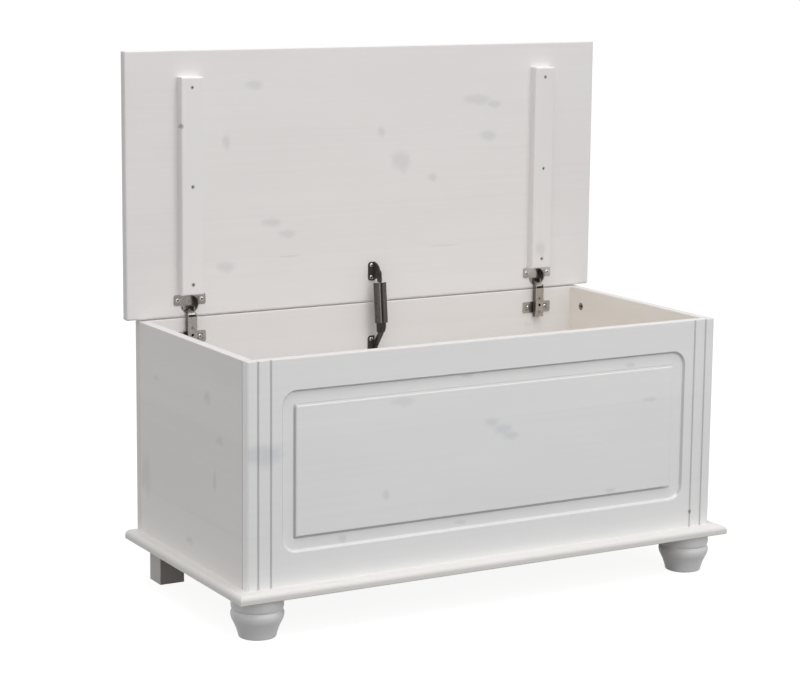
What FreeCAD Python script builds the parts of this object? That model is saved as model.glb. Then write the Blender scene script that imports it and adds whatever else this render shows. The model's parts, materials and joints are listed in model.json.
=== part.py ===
# Blanket chest in white-glazed pine with a lid on two cup hinges and a telescoping stay.
#
# Frame: +Z up, the front faces -Y, the origin is under the middle of the chest at the floor.
# The chest is drawn with its lid open at 90 degrees. All lengths are in millimetres.

import os
import re

import FreeCAD
import Part
import Sketcher

SIZES = [
    # Carcass of four boards that stand on the base board
    ("carcass_width", 960.0, "over the two side panels"),
    ("carcass_depth", 460.0, "from the front panel's face to the back panel's outer face"),
    ("carcass_height", 391.0, "of all four boards"),
    ("side_thickness", 18.0, "side panels"),
    ("front_thickness", 18.0, "front panel"),
    ("back_thickness", 18.0, "back panel"),
    ("board_easing", 1.5, "rounded arrises of the boards"),
    ("front_corner_radius", 4.0, "upright outer corners of the front panel"),
    # Base board
    ("base_thickness", 16.0, "base board"),
    ("base_overhang", 25.0, "past the carcass at the front and the sides"),
    ("base_edge_radius", 9.0, "quarter round along the upper edge"),
    ("base_lower_easing", 2.0, "lower arris"),
    # Routed decoration of the front panel
    ("groove_depth", 2.0, "upright V grooves"),
    ("groove_outer_inset", 20.0, "outer V groove from the panel's end"),
    ("groove_inner_inset", 44.0, "inner V groove from the panel's end"),
    ("recess_side_margin", 68.0, "routed frame to the panel's ends"),
    ("recess_low_margin", 60.0, "routed frame to the panel's lower edge"),
    ("recess_high_margin", 58.0, "routed frame to the panel's upper edge"),
    ("recess_band", 22.0, "width of the sunk band"),
    ("recess_depth", 4.5, "depth of the sunk band"),
    ("recess_bevel", 3.5, "bevel on both sides of the band"),
    ("recess_corner_radius", 24.0, "outer corners of the routed frame"),
    # Feet
    ("foot_height", 72.0, "all four feet"),
    ("foot_sole_radius", 31.5, "turned foot, at the floor"),
    ("foot_heel_radius", 33.6, "turned foot, lower end of the taper"),
    ("foot_heel_height", 7.7, "lower end of the taper"),
    ("foot_waist_radius", 38.7, "turned foot, upper end of the taper"),
    ("foot_waist_height", 23.3, "upper end of the taper"),
    ("foot_belly_radius", 45.8, "turned foot, lower bead"),
    ("foot_belly_low", 37.0, "lower edge of the lower bead"),
    ("foot_belly_high", 44.5, "upper edge of the lower bead"),
    ("foot_notch_radius", 43.2, "turned foot, in the notch"),
    ("foot_notch_height", 47.6, "notch between the beads"),
    ("foot_bead_radius", 45.2, "turned foot, upper bead"),
    ("foot_bead_low", 50.5, "lower edge of the upper bead"),
    ("foot_side_inset", 33.0, "foot axis in from the carcass side"),
    ("foot_front_inset", 30.0, "turned foot axis in from the front face"),
    ("foot_rear_inset", 58.0, "block foot axis in from the back face"),
    ("block_foot_width", 48.0, "square rear foot"),
    ("block_foot_easing", 2.0, "arrises of the rear foot"),
    ("foot_bolt_radius", 4.0, "dowel screw between foot and base board"),
    ("foot_bolt_length", 55.0, "dowel screw"),
    ("foot_bolt_grip", 13.0, "length of the dowel screw in the base board"),
    # Knock-down joints of the carcass
    ("cam_radius", 7.5, "cam lock"),
    ("cam_depth", 12.5, "cam lock in the side panel"),
    ("cam_setback", 38.0, "cam axis from the front or back panel"),
    ("cam_edge_distance", 36.0, "cam axis from the upper or lower edge"),
    ("cam_bolt_radius", 3.0, "cam bolt"),
    ("cam_bolt_grip", 10.0, "cam bolt in the front or back panel"),
    ("dowel_radius", 4.0, "wood dowel"),
    ("dowel_grip", 10.0, "dowel in the front or back panel"),
    ("dowel_length", 30.0, "wood dowel"),
    ("base_screw_radius", 3.5, "screw up into a panel"),
    ("base_screw_head_radius", 5.0, "its head in the base board"),
    ("base_screw_head_height", 4.0, "its head in the base board"),
    ("base_screw_length", 50.0, "with the head"),
    ("base_screw_inset", 140.0, "outer screws from the panel's ends"),
    # Lid
    ("lid_length", 487.0, "from the hinge edge to the free edge"),
    ("lid_overhang", 25.0, "past the carcass at each side"),
    ("lid_thickness", 18.0, "lid board"),
    ("lid_easing", 3.5, "rounded arrises of the lid"),
    ("lid_setback", 0.5, "open lid's inner face behind the back panel's inner face"),
    ("lid_gap", 2.5, "open lid's lower edge above the back panel"),
    ("pivot_depth", 8.5, "hinge axis behind the lid's inner face"),
    ("pivot_height", 8.0, "hinge axis above the open lid's lower edge"),
    ("batten_inset", 100.0, "middle of a batten and its hinge from the carcass side"),
    ("batten_width", 44.0, "batten"),
    ("batten_length", 397.0, "batten"),
    ("batten_thickness", 18.0, "batten"),
    ("batten_start", 41.5, "batten from the lid's hinge edge"),
    ("batten_easing", 3.0, "rounded arrises of the batten"),
    ("batten_screw_inset", 19.0, "outer screws from the batten's ends"),
    ("batten_screw_length", 30.0, "batten screw"),
    # Wood screws
    ("screw_head_radius", 3.8, "sunk head"),
    ("screw_head_height", 2.4, "sunk head"),
    ("screw_shank_radius", 1.9, "shank"),
    ("driver_slot_width", 1.0, "slot of the arm screws and cams"),
    ("driver_slot_depth", 1.3, "slot of the arm screws and cams"),
    ("pan_head_radius", 3.7, "raised head of the hinge and stay screws"),
    ("pan_head_height", 1.6, "raised head"),
    ("short_screw_length", 13.0, "hinge and stay screws with their heads"),
    # Cup hinge, lid side
    ("cup_radius", 17.4, "cup"),
    ("cup_bore_radius", 17.5, "bore in the lid"),
    ("cup_depth", 12.5, "cup"),
    ("cup_wall", 0.8, "cup"),
    ("cup_centre_height", 15.2, "cup axis above the hinge axis, lid open"),
    ("cup_rim_radius", 18.1, "rim on the lid's face"),
    ("cup_rim_height", 0.8, "rim on the lid's face"),
    ("flange_width", 64.0, "screw flange of the cup"),
    ("flange_low", 13.5, "lower edge of the flange above the hinge axis"),
    ("flange_high", 33.0, "upper edge of the flange above the hinge axis"),
    ("flange_thickness", 1.2, "screw flange"),
    ("flange_screw_offset", 24.0, "flange screw from the cup's middle"),
    ("flange_screw_height", 23.0, "flange screw above the hinge axis"),
    ("cheek_inner", 9.4, "cheek beside the links in the cup"),
    ("cheek_outer", 12.0, "cheek in the cup"),
    ("cheek_depth", 2.0, "cheek below the lid's face"),
    ("cheek_low", 3.0, "cheek above the hinge axis"),
    ("cheek_high", 9.0, "cheek above the hinge axis"),
    # Cup hinge, carcass side
    ("hinge_steel", 1.2, "arm and links"),
    ("hinge_arm_width", 18.0, "arm"),
    ("hinge_arm_front", 22.0, "arm's face in front of the hinge axis"),
    ("hinge_arm_rear", 10.6, "arm's rear edge in front of the hinge axis"),
    ("hinge_arm_top", 0.8, "arm's top below the hinge axis"),
    ("hinge_arm_bottom", 64.5, "arm's lower end below the hinge axis"),
    ("hinge_arm_window", 7.4, "arm's face begins this far below the hinge axis"),
    ("arm_screw_radius", 3.0, "adjusting and fixing screws"),
    ("arm_screw_stand", 0.5, "their heads in front of the arm's face"),
    ("adjusting_screw_length", 3.0, "past the arm's sheet"),
    ("fixing_screw_length", 6.0, "past the arm's sheet"),
    ("keyhole_bore_depth", 4.0, "below the keyhole, in the mounting plate"),
    ("adjusting_screw_drop", 27.8, "below the hinge axis"),
    ("keyhole_drop", 41.3, "below the hinge axis"),
    ("fixing_screw_drop", 55.3, "below the hinge axis"),
    ("keyhole_radius", 2.6, "hole in the arm's face"),
    ("plate_width", 64.0, "mounting plate"),
    ("plate_high", 35.4, "wings' upper edge below the hinge axis"),
    ("plate_low", 57.2, "wings' lower edge below the hinge axis"),
    ("plate_thickness", 1.4, "wings of the mounting plate"),
    ("plate_screw_offset", 20.0, "plate screw from the arm's middle"),
    ("plate_block_high", 31.2, "raised middle, upper end below the hinge axis"),
    ("plate_block_low", 61.0, "raised middle, lower end below the hinge axis"),
    ("pin_radius", 1.3, "link pins"),
    ("pin_clearance", 0.08, "round a pin"),
    ("pin_stand", 0.3, "riveted ends of the link pins past the arm"),
    ("outer_pin_out", 18.0, "outer link's pin in front of the hinge axis"),
    ("outer_pin_down", 3.5, "outer link's pin below the hinge axis"),
    ("inner_pin_out", 14.2, "inner link's pin in front of the hinge axis"),
    ("inner_pin_down", 7.2, "inner link's pin below the hinge axis"),
    ("outer_link_width", 13.0, "outer link over its side plates"),
    ("inner_link_width", 9.8, "inner link"),
    ("outer_end_out", 2.2, "outer link's cup pin in front of the hinge axis"),
    ("outer_end_up", 1.5, "outer link's cup pin above the hinge axis"),
    ("inner_end_out", 4.2, "inner link's cup pin in front of the hinge axis"),
    ("inner_end_up", 1.2, "inner link's cup pin above the hinge axis"),
    ("link_end_radius", 1.0, "rounded ends of the links in the cup"),
    ("saddle_eye_wall", 2.3, "outer link's outline round its pin"),
    ("saddle_back_out", 1.0, "outer link's back corner in front of its pin"),
    ("saddle_back_rise", 2.7, "outer link's back corner above its pin"),
    ("saddle_shoulder", 2.5, "outer link's shoulder behind its pin"),
    ("saddle_step", 0.2, "outer link's step behind the arm's rear edge"),
    ("saddle_belly_in", 5.5, "outer link's belly corner behind its pin"),
    ("saddle_belly_rise", 2.0, "outer link's belly corner above its pin"),
    ("saddle_heel_in", 2.2, "outer link's heel behind its pin"),
    ("saddle_heel_drop", 1.0, "outer link's heel below its pin"),
    ("web_foot_in", 1.0, "outer link's web, lower end of its inner face behind the pin"),
    ("web_bend_in", 0.4, "web's inner face behind the pin at the bend"),
    ("web_bend_rise", 1.0, "web's bend above the pin"),
    ("web_crest_in", 3.0, "web's crest behind the pin"),
    ("web_crest_drop", 0.4, "web's crest below the link's end"),
    ("web_end_in", 4.4, "web's end behind the pin"),
    ("web_end_drop", 0.3, "web's end below the link's end"),
    ("web_margin", 3.0, "opening between the side plates runs past their outline"),
    ("lever_eye_wall", 1.8, "inner link's outline in front of and behind its pin"),
    ("lever_heel_out", 1.4, "inner link's heel in front of its pin"),
    ("lever_heel_drop", 1.2, "inner link's heel below its pin"),
    ("lever_back_rise", 1.0, "inner link's back corner above its pin"),
    ("lever_knee_in", 3.0, "inner link's knee behind its pin"),
    ("lever_knee_rise", 6.0, "inner link's knee above its pin"),
    ("lever_crank_in", 3.8, "inner link's crank behind its pin"),
    ("lever_crank_rise", 7.1, "inner link's crank above its pin"),
    ("lever_crest_in", 3.4, "inner link's crest behind its pin"),
    ("lever_crest_rise", 1.2, "inner link's crest above its end"),
    ("lever_shoulder_in", 1.0, "inner link's shoulder behind its pin"),
    ("lever_shoulder_rise", 7.4, "inner link's shoulder above its pin"),
    # Lid stay
    ("stay_steel", 2.0, "brackets and arm"),
    ("stay_plate_left", 5.0, "bracket plates' left edge from the middle"),
    ("stay_plate_width", 14.0, "bracket plates"),
    ("stay_plate_height", 36.0, "bracket plates"),
    ("stay_upper_plate_rise", 43.0, "upper plate's lower edge above the rim"),
    ("stay_lower_plate_drop", 64.0, "lower plate's upper edge below the rim"),
    ("stay_screw_inset", 6.5, "bracket screws from the plates' ends"),
    ("stay_screw_x", 2.0, "bracket screws from the middle"),
    ("stay_pivot_out", 17.0, "upper pivot in front of the lid's face"),
    ("stay_pivot_rise", 57.8, "upper pivot above the rim"),
    ("stay_guide_out", 27.0, "guide head in front of the back panel"),
    ("stay_guide_drop", 44.0, "guide head below the rim"),
    ("stay_gap", 0.3, "between the bracket's ear and the arm"),
    ("stay_arm_radius", 7.5, "arm's end round the pivot"),
    ("stay_rivet_radius", 2.5, "pivot rivet"),
    ("stay_rivet_head_radius", 4.5, "pivot rivet's heads"),
    ("stay_rivet_head_height", 1.6, "pivot rivet's heads"),
    ("stay_tongue_front", 2.7, "arm's tongue in the cover, in front of the cover's axis"),
    ("stay_tube_radius", 7.5, "each barrel of the cover"),
    ("stay_tube_offset", 5.75, "barrel from the cover's middle"),
    ("stay_tube_wall", 1.0, "cover"),
    ("stay_tube_start", 17.0, "cover's upper end from the pivot"),
    ("stay_tube_end", 94.0, "cover's lower end from the pivot"),
    ("stay_tube_rear", 1.5, "cover's open rear behind its axis"),
    ("stay_cap_depth", 1.2, "end cap below the cover's upper rim"),
    ("stay_cap_thickness", 1.8, "end cap"),
    ("stay_plate_rounding", 6.0, "left corners of the bracket plates"),
    ("ear_low_rise", 2.0, "upper ear's lower end above its plate's lower edge"),
    ("ear_bend_out", 10.0, "upper ear's lower bend in front of the lid's face"),
    ("ear_bend_rise", 4.0, "upper ear's lower bend above its plate's lower edge"),
    ("ear_below", 8.0, "upper ear below the pivot"),
    ("ear_front", 7.0, "upper ear in front of the pivot"),
    ("ear_chin", 6.0, "upper ear's front lower corner from the pivot, both ways"),
    ("ear_front_rise", 3.0, "upper ear's front edge ends above the pivot"),
    ("ear_brow_out", 3.0, "upper ear's brow in front of the pivot"),
    ("ear_brow_drop", 8.0, "upper ear's brow below its plate's upper edge"),
    ("ear_crown_in", 6.0, "upper ear's crown behind the pivot"),
    ("ear_crown_drop", 2.0, "upper ear's crown below its plate's upper edge"),
    ("neck_root_rise", 2.0, "neck's root above its plate's lower edge"),
    ("neck_heel_out", 9.0, "neck's heel and throat in front of the back panel"),
    ("neck_heel_rise", 5.0, "neck's heel above its plate's lower edge"),
    ("neck_shin_out", 15.8, "neck's shin in front of the back panel"),
    ("neck_shin_rise", 17.0, "neck's shin above its plate's lower edge"),
    ("neck_front", 2.0, "neck's end in front of the guide's axis"),
    ("neck_front_drop", 7.0, "neck's front edge starts below the guide's middle"),
    ("neck_rear", 4.0, "neck's end behind the guide's axis"),
    ("neck_nape_in", 6.5, "neck's nape behind the guide's axis"),
    ("neck_nape_drop", 8.0, "neck's nape below the guide's middle"),
    ("neck_throat_out", 14.5, "neck's upper throat in front of the back panel"),
    ("neck_throat_drop", 2.0, "neck's upper throat below its plate's upper edge"),
    ("neck_collar_drop", 8.0, "neck's lower throat below its plate's upper edge"),
    ("neck_joint_drop", 10.0, "neck meets its plate below the plate's upper edge"),
    ("strap_left", 5.3, "neck strap's left edge from the middle"),
    ("strap_width", 12.0, "neck strap"),
    ("strap_out", 23.4, "neck strap's upper end in front of the back panel"),
    ("strap_depth", 2.4, "neck strap's upper end"),
    ("strap_gap", 0.8, "neck strap below the guide head"),
    ("strap_joint_drop", 17.5, "neck strap meets its plate below the plate's upper edge"),
    ("strap_joint_height", 3.0, "neck strap where it meets its plate"),
    ("guide_width", 17.0, "guide head"),
    ("guide_front", 2.5, "guide head in front of its axis"),
    ("guide_rear", 5.0, "guide head behind its axis"),
    ("guide_above", 9.0, "guide head above its middle"),
    ("guide_below", 12.0, "guide head below its middle"),
    ("guide_toe", 3.3, "guide head's lower end, front edge behind its axis"),
    ("guide_rounding", 5.5, "guide head's lower corners"),
]

SIZE = {alias: value for alias, value, note in SIZES}
NEAR = 1e-4
# Small fasteners are many-sided prisms, which keeps their meshes light
SHANK_SIDES = 6
HEAD_SIDES = 12
CAM_SIDES = 20

# Places along Y and Z that several pieces share, written over the sheet's cells
TOTAL_DEPTH = "(base_overhang + carcass_depth + lid_setback + lid_thickness - back_thickness)"
FRONT_FACE = f"(base_overhang - {TOTAL_DEPTH} / 2)"
FRONT_INNER = f"({FRONT_FACE} + front_thickness)"
BACK_FACE = f"({FRONT_FACE} + carcass_depth)"
BACK_INNER = f"({BACK_FACE} - back_thickness)"
LID_FACE = f"({BACK_INNER} + lid_setback)"
SIDE_FACE = "(carcass_width / 2)"
SIDE_INNER = "(carcass_width / 2 - side_thickness)"
SIDE_MIDDLE = "(carcass_width / 2 - side_thickness / 2)"
BATTEN_X = "(carcass_width / 2 - batten_inset)"
BASE_SCREW_X = "(carcass_width / 2 - base_screw_inset)"
BASE_TOP = "(foot_height + base_thickness)"
RIM = f"({BASE_TOP} + carcass_height)"
LID_EDGE = f"({RIM} + lid_gap)"
PIVOT_Y = f"({LID_FACE} + pivot_depth)"
PIVOT_Z = f"({LID_EDGE} + pivot_height)"
BACK_FROM_PIVOT = "(0 - pivot_depth - lid_setback)"
FACE_FROM_PIVOT = "(0 - pivot_depth)"
STAY_EAR = "(stay_plate_width - stay_plate_left - stay_steel)"
STAY_ARM = "(stay_plate_width - stay_plate_left + stay_gap)"
STAY_MIDDLE = f"({STAY_ARM} + stay_steel / 2)"
STAY_RUN = "(stay_pivot_rise + stay_guide_drop)"
STAY_LEAN = f"atan((stay_guide_out - stay_pivot_out + lid_setback) / {STAY_RUN})"

doc = FreeCAD.newDocument("blanket_chest")
sheet = doc.addObject("Spreadsheet::Sheet", "sizes")
parts = []


def fill_sheet():
    """One row a size: its alias, its value and what it measures."""
    for row, (alias, value, note) in enumerate(SIZES, start=1):
        sheet.set(f"A{row}", alias)
        sheet.set(f"B{row}", str(value))
        sheet.set(f"C{row}", note)
        sheet.setAlias(f"B{row}", alias)
    doc.recompute()


def bind(thing, property_name, text):
    """Bind a property to an expression in which bare words are the sheet's aliases."""
    def cell(match):
        word = match.group()
        return f"sizes.{word}" if word in SIZE else word
    thing.setExpression(property_name, re.sub(r"[a-z][a-z_]*", cell, str(text)))


def place(thing, at, prefix="Placement.Base"):
    for letter, text in zip("xyz", at):
        bind(thing, f"{prefix}.{letter}", text)


def new_body(name):
    """A sub-part: a body whose label names its file."""
    body = doc.addObject("PartDesign::Body", name)
    body.Label = name
    parts.append(body)
    return body


# ---------------------------------------------------------------- features of a body

def block(body, name, size, at, cut=False, turn=None):
    kind = "PartDesign::SubtractiveBox" if cut else "PartDesign::AdditiveBox"
    feature = body.newObject(kind, name)
    for property_name, text in zip(("Length", "Width", "Height"), size):
        bind(feature, property_name, text)
    if turn:
        feature.Placement.Rotation = turn
    place(feature, at)
    return feature


AXIS_TURN = {
    "+z": FreeCAD.Rotation(),
    "-z": FreeCAD.Rotation(FreeCAD.Vector(1, 0, 0), 180),
    "+x": FreeCAD.Rotation(FreeCAD.Vector(0, 1, 0), 90),
    "-x": FreeCAD.Rotation(FreeCAD.Vector(0, 1, 0), -90),
    "+y": FreeCAD.Rotation(FreeCAD.Vector(1, 0, 0), -90),
    "-y": FreeCAD.Rotation(FreeCAD.Vector(1, 0, 0), 90),
}


def rod(body, name, radius, length, at, axis="+z", cut=False):
    kind = "PartDesign::SubtractiveCylinder" if cut else "PartDesign::AdditiveCylinder"
    feature = body.newObject(kind, name)
    bind(feature, "Radius", radius)
    bind(feature, "Height", length)
    feature.Placement.Rotation = AXIS_TURN[axis]
    place(feature, at)
    return feature


def peg_bore(body, name, radius, length, at, axis="+z", sides=SHANK_SIDES):
    """A bore for a fastener, with as many sides as the fastener."""
    feature = body.newObject("PartDesign::SubtractivePrism", name)
    feature.Polygon = sides
    bind(feature, "Circumradius", radius)
    bind(feature, "Height", length)
    feature.Placement.Rotation = AXIS_TURN[axis]
    place(feature, at)
    return feature


def origin_plane(body, role):
    return [item for item in body.Origin.OriginFeatures if item.Role == role][0]


def new_sketch(body, name, role, away="0"):
    """A sketch on one of the body's own planes, moved along that plane's normal."""
    sketch = body.newObject("Sketcher::SketchObject", name)
    sketch.AttachmentSupport = (origin_plane(body, role), [""])
    sketch.MapMode = "FlatFace"
    bind(sketch, "AttachmentOffset.Base.z", away)
    return sketch


def outline(sketch, corners):
    """A closed run of straight lines whose corners are bound to the sheet."""
    first = sketch.GeometryCount
    count = len(corners)
    for index in range(count):
        start = FreeCAD.Vector(index, index * index, 0)
        end_index = (index + 1) % count
        end = FreeCAD.Vector(end_index, end_index * end_index, 0)
        sketch.addGeometry(Part.LineSegment(start, end), False)
    for index in range(count):
        after = first + (index + 1) % count
        sketch.addConstraint(Sketcher.Constraint("Coincident", first + index, 2, after, 1))
    for index, corner in enumerate(corners):
        for kind, text in zip(("DistanceX", "DistanceY"), corner):
            number = sketch.addConstraint(
                Sketcher.Constraint(kind, -1, 1, first + index, 1, 1.0 + index))
            bind(sketch, f"Constraints[{number}]", text)


def prism(body, name, corners, role, length, away="0", cut=False, middle=False):
    """An outline pushed along the normal of its plane."""
    sketch = new_sketch(body, name + "_outline", role, away)
    outline(sketch, corners)
    feature = body.newObject("PartDesign::Pocket" if cut else "PartDesign::Pad", name)
    feature.Profile = sketch
    feature.Midplane = middle
    bind(feature, "Length", length)
    sketch.Visibility = False
    return feature


def round_edges(body, name, radius, test):
    """Fillet the edges of the body so far that pass a test."""
    doc.recompute()
    base = body.Tip
    names = [f"Edge{number}" for number, edge in enumerate(base.Shape.Edges, start=1)
             if test(edge, base.Shape.BoundBox)]
    feature = body.newObject("PartDesign::Fillet", name)
    feature.Base = (base, names)
    bind(feature, "Radius", radius)
    return feature


def bevel_edges(body, name, size, test):
    doc.recompute()
    base = body.Tip
    names = [f"Edge{number}" for number, edge in enumerate(base.Shape.Edges, start=1)
             if test(edge, base.Shape.BoundBox)]
    feature = body.newObject("PartDesign::Chamfer", name)
    feature.Base = (base, names)
    bind(feature, "Size", size)
    return feature


def near(first, second):
    return abs(first - second) < NEAR


def along(edge, letter):
    """True where an edge runs along one axis."""
    box = edge.BoundBox
    spans = {"x": box.XLength, "y": box.YLength, "z": box.ZLength}
    return all((span > NEAR) == (name == letter) for name, span in spans.items())


# ---------------------------------------------------------------- carcass boards

# Ends of a side panel: the neighbour's inner face and the way in from it
ENDS = [("front", FRONT_INNER, 1), ("back", BACK_INNER, -1)]
CAM_LEVELS = [("low", f"({BASE_TOP} + cam_edge_distance)"),
              ("high", f"({RIM} - cam_edge_distance)")]
DOWEL_LEVEL = f"({BASE_TOP} + carcass_height / 2)"


def ease_board(body):
    """Round the two long upper arrises of a board."""
    def is_long_arris(edge, box):
        board_length = max(box.XLength, box.YLength)
        edge_length = max(edge.BoundBox.XLength, edge.BoundBox.YLength)
        return near(edge.BoundBox.ZMin, box.ZMax) and edge_length > board_length / 2
    return round_edges(body, body.Label + "_easing", "board_easing", is_long_arris)


def make_side_panel(name, side):
    body = new_body(name)
    left = f"({SIDE_INNER})" if side > 0 else f"(0 - {SIDE_FACE})"
    depth = "(carcass_depth - front_thickness - back_thickness)"
    block(body, name + "_board", ("side_thickness", depth, "carcass_height"),
          (left, FRONT_INNER, BASE_TOP))
    ease_board(body)
    inner = f"({side} * {SIDE_INNER})"
    middle = f"({side} * {SIDE_MIDDLE})"
    outward = "+x" if side > 0 else "-x"
    for end, face, way in ENDS:
        inward = "+y" if way > 0 else "-y"
        for level, height in CAM_LEVELS:
            tag = f"{name}_{end}_{level}"
            peg_bore(body, tag + "_cam_bore", "cam_radius", "cam_depth",
                     (inner, f"{face} + {way} * cam_setback", height), outward, CAM_SIDES)
            peg_bore(body, tag + "_bolt_bore", "cam_bolt_radius", "cam_setback",
                     (middle, face, height), inward)
        peg_bore(body, f"{name}_{end}_dowel_bore", "dowel_radius", "dowel_length - dowel_grip",
                 (middle, face, DOWEL_LEVEL), inward)
    peg_bore(body, name + "_screw_bore", "base_screw_radius",
             "base_screw_length - base_thickness",
             (middle, f"({FRONT_INNER} + {BACK_INNER}) / 2", BASE_TOP))


def bore_end_panel(body, name, face, way):
    """Bores of the front or back panel for the side panels' bolts and dowels."""
    into = "-y" if way > 0 else "+y"
    for side in (-1, 1):
        tag = f"{name}_{'right' if side > 0 else 'left'}"
        middle = f"({side} * {SIDE_MIDDLE})"
        for level, height in CAM_LEVELS:
            peg_bore(body, f"{tag}_{level}_bolt_bore", "cam_bolt_radius", "cam_bolt_grip",
                     (middle, face, height), into)
        peg_bore(body, tag + "_dowel_bore", "dowel_radius", "dowel_grip",
                 (middle, face, DOWEL_LEVEL), into)
    for place_name, where in (("left", f"0 - {BASE_SCREW_X}"), ("middle", "0"),
                              ("right", BASE_SCREW_X)):
        centre = f"({face} - {way} * {'front' if way > 0 else 'back'}_thickness / 2)"
        peg_bore(body, f"{name}_{place_name}_screw_bore", "base_screw_radius",
                 "base_screw_length - base_thickness", (where, centre, BASE_TOP))


def make_front_panel():
    name = "front_panel"
    body = new_body(name)
    block(body, "front_board", ("carcass_width", "front_thickness", "carcass_height"),
          (f"0 - {SIDE_FACE}", FRONT_FACE, BASE_TOP))
    round_edges(body, "front_corners", "front_corner_radius",
                lambda edge, box: along(edge, "z") and near(edge.BoundBox.YMin, box.YMin))
    left = f"(recess_side_margin - {SIDE_FACE})"
    low = f"({BASE_TOP} + recess_low_margin)"
    high = f"({RIM} - recess_high_margin)"
    sketch = new_sketch(body, "recess_outline", "XZ_Plane", f"0 - {FRONT_FACE}")
    for inset in ("0", "recess_band"):
        outline(sketch, [(f"{left} + {inset}", f"{low} + {inset}"),
                         (f"0 - {left} - {inset}", f"{low} + {inset}"),
                         (f"0 - {left} - {inset}", f"{high} - {inset}"),
                         (f"{left} + {inset}", f"{high} - {inset}")])
    pocket = body.newObject("PartDesign::Pocket", "recess")
    pocket.Profile = sketch
    bind(pocket, "Length", "recess_depth")
    reach = SIZE["carcass_width"] / 2 - SIZE["recess_side_margin"]
    round_edges(body, "recess_corners", "recess_corner_radius",
                lambda edge, box: along(edge, "y") and near(abs(edge.BoundBox.XMin), reach))
    bevel_edges(body, "recess_bevels", "recess_bevel",
                lambda edge, box: near(edge.BoundBox.YMin, box.YMin)
                and near(edge.BoundBox.YLength, 0)
                and edge.BoundBox.ZMin > box.ZMin + 1 and edge.BoundBox.ZMax < box.ZMax - 1
                and abs(edge.BoundBox.XMin) < reach + 1)
    ease_board(body)
    diagonal = FreeCAD.Rotation(FreeCAD.Vector(0, 0, 1), 45)
    side_of_square = "groove_depth * 2 / sqrt(2)"
    for inset in ("groove_outer_inset", "groove_inner_inset"):
        for side in (-1, 1):
            block(body, f"{inset}_{'right' if side > 0 else 'left'}",
                  (side_of_square, side_of_square, "carcass_height + 2"),
                  (f"{side} * ({SIDE_FACE} - {inset})", f"{FRONT_FACE} - groove_depth",
                   f"{BASE_TOP} - 1"),
                  cut=True, turn=diagonal)
    bore_end_panel(body, name, FRONT_INNER, 1)


def make_back_panel():
    name = "back_panel"
    body = new_body(name)
    block(body, "back_board", ("carcass_width", "back_thickness", "carcass_height"),
          (f"0 - {SIDE_FACE}", BACK_INNER, BASE_TOP))
    ease_board(body)
    bore_end_panel(body, name, BACK_INNER, -1)
    for side in (-1, 1):
        tag = "right" if side > 0 else "left"
        for lean in (-1, 1):
            peg_bore(body, f"plate_bore_{tag}_{'outer' if lean * side > 0 else 'inner'}",
                     "screw_shank_radius", "short_screw_length - pan_head_height - plate_thickness",
                     (f"{side} * {BATTEN_X} + {lean} * plate_screw_offset", BACK_INNER,
                     f"{PIVOT_Z} - (plate_high + plate_low) / 2"), "+y")
    for number, drop in enumerate(("stay_screw_inset",
                                   "stay_plate_height - stay_screw_inset"), start=1):
        peg_bore(body, f"stay_bore_{number}", "screw_shank_radius",
                 "short_screw_length - pan_head_height - stay_steel",
                 ("stay_screw_x", BACK_INNER, f"{RIM} - stay_lower_plate_drop - ({drop})"),
                 "+y")


# ---------------------------------------------------------------- base and feet

FOOT_X = f"({SIDE_FACE} - foot_side_inset)"
FOOT_FRONT_Y = f"({FRONT_FACE} + foot_front_inset)"
FOOT_REAR_Y = f"({BACK_FACE} - foot_rear_inset)"
FEET = [("front_left", -1, FOOT_FRONT_Y), ("front_right", 1, FOOT_FRONT_Y),
        ("rear_left", -1, FOOT_REAR_Y), ("rear_right", 1, FOOT_REAR_Y)]


def base_screw_places():
    front = f"({FRONT_FACE} + front_thickness / 2)"
    back = f"({BACK_FACE} - back_thickness / 2)"
    middle = f"(({FRONT_INNER} + {BACK_INNER}) / 2)"
    places = [(f"{lean} * {BASE_SCREW_X}", y) for y in (front, back) for lean in (-1, 0, 1)]
    return places + [(f"{side} * {SIDE_MIDDLE}", middle) for side in (-1, 1)]


def make_base_board():
    body = new_body("base_board")
    block(body, "base_slab",
          ("carcass_width + 2 * base_overhang", "carcass_depth + base_overhang",
           "base_thickness"),
          (f"0 - {SIDE_FACE} - base_overhang", f"{FRONT_FACE} - base_overhang", "foot_height"))
    round_edges(body, "base_upper_round", "base_edge_radius",
                lambda edge, box: near(edge.BoundBox.ZMin, box.ZMax)
                and not near(edge.BoundBox.YMin, box.YMax))
    round_edges(body, "base_lower_round", "base_lower_easing",
                lambda edge, box: near(edge.BoundBox.ZMax, box.ZMin)
                and not near(edge.BoundBox.YMin, box.YMax))
    for tag, side, y in FEET:
        peg_bore(body, f"bolt_bore_{tag}", "foot_bolt_radius", "foot_bolt_grip",
                 (f"{side} * {FOOT_X}", y, "foot_height"))
    for number, (x, y) in enumerate(base_screw_places(), start=1):
        peg_bore(body, f"base_bore_{number}", "base_screw_radius", "base_thickness",
                 (x, y, "foot_height"))
        peg_bore(body, f"base_sinking_{number}", "base_screw_head_radius",
                 "base_screw_head_height", (x, y, "foot_height"), sides=HEAD_SIDES)


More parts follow.
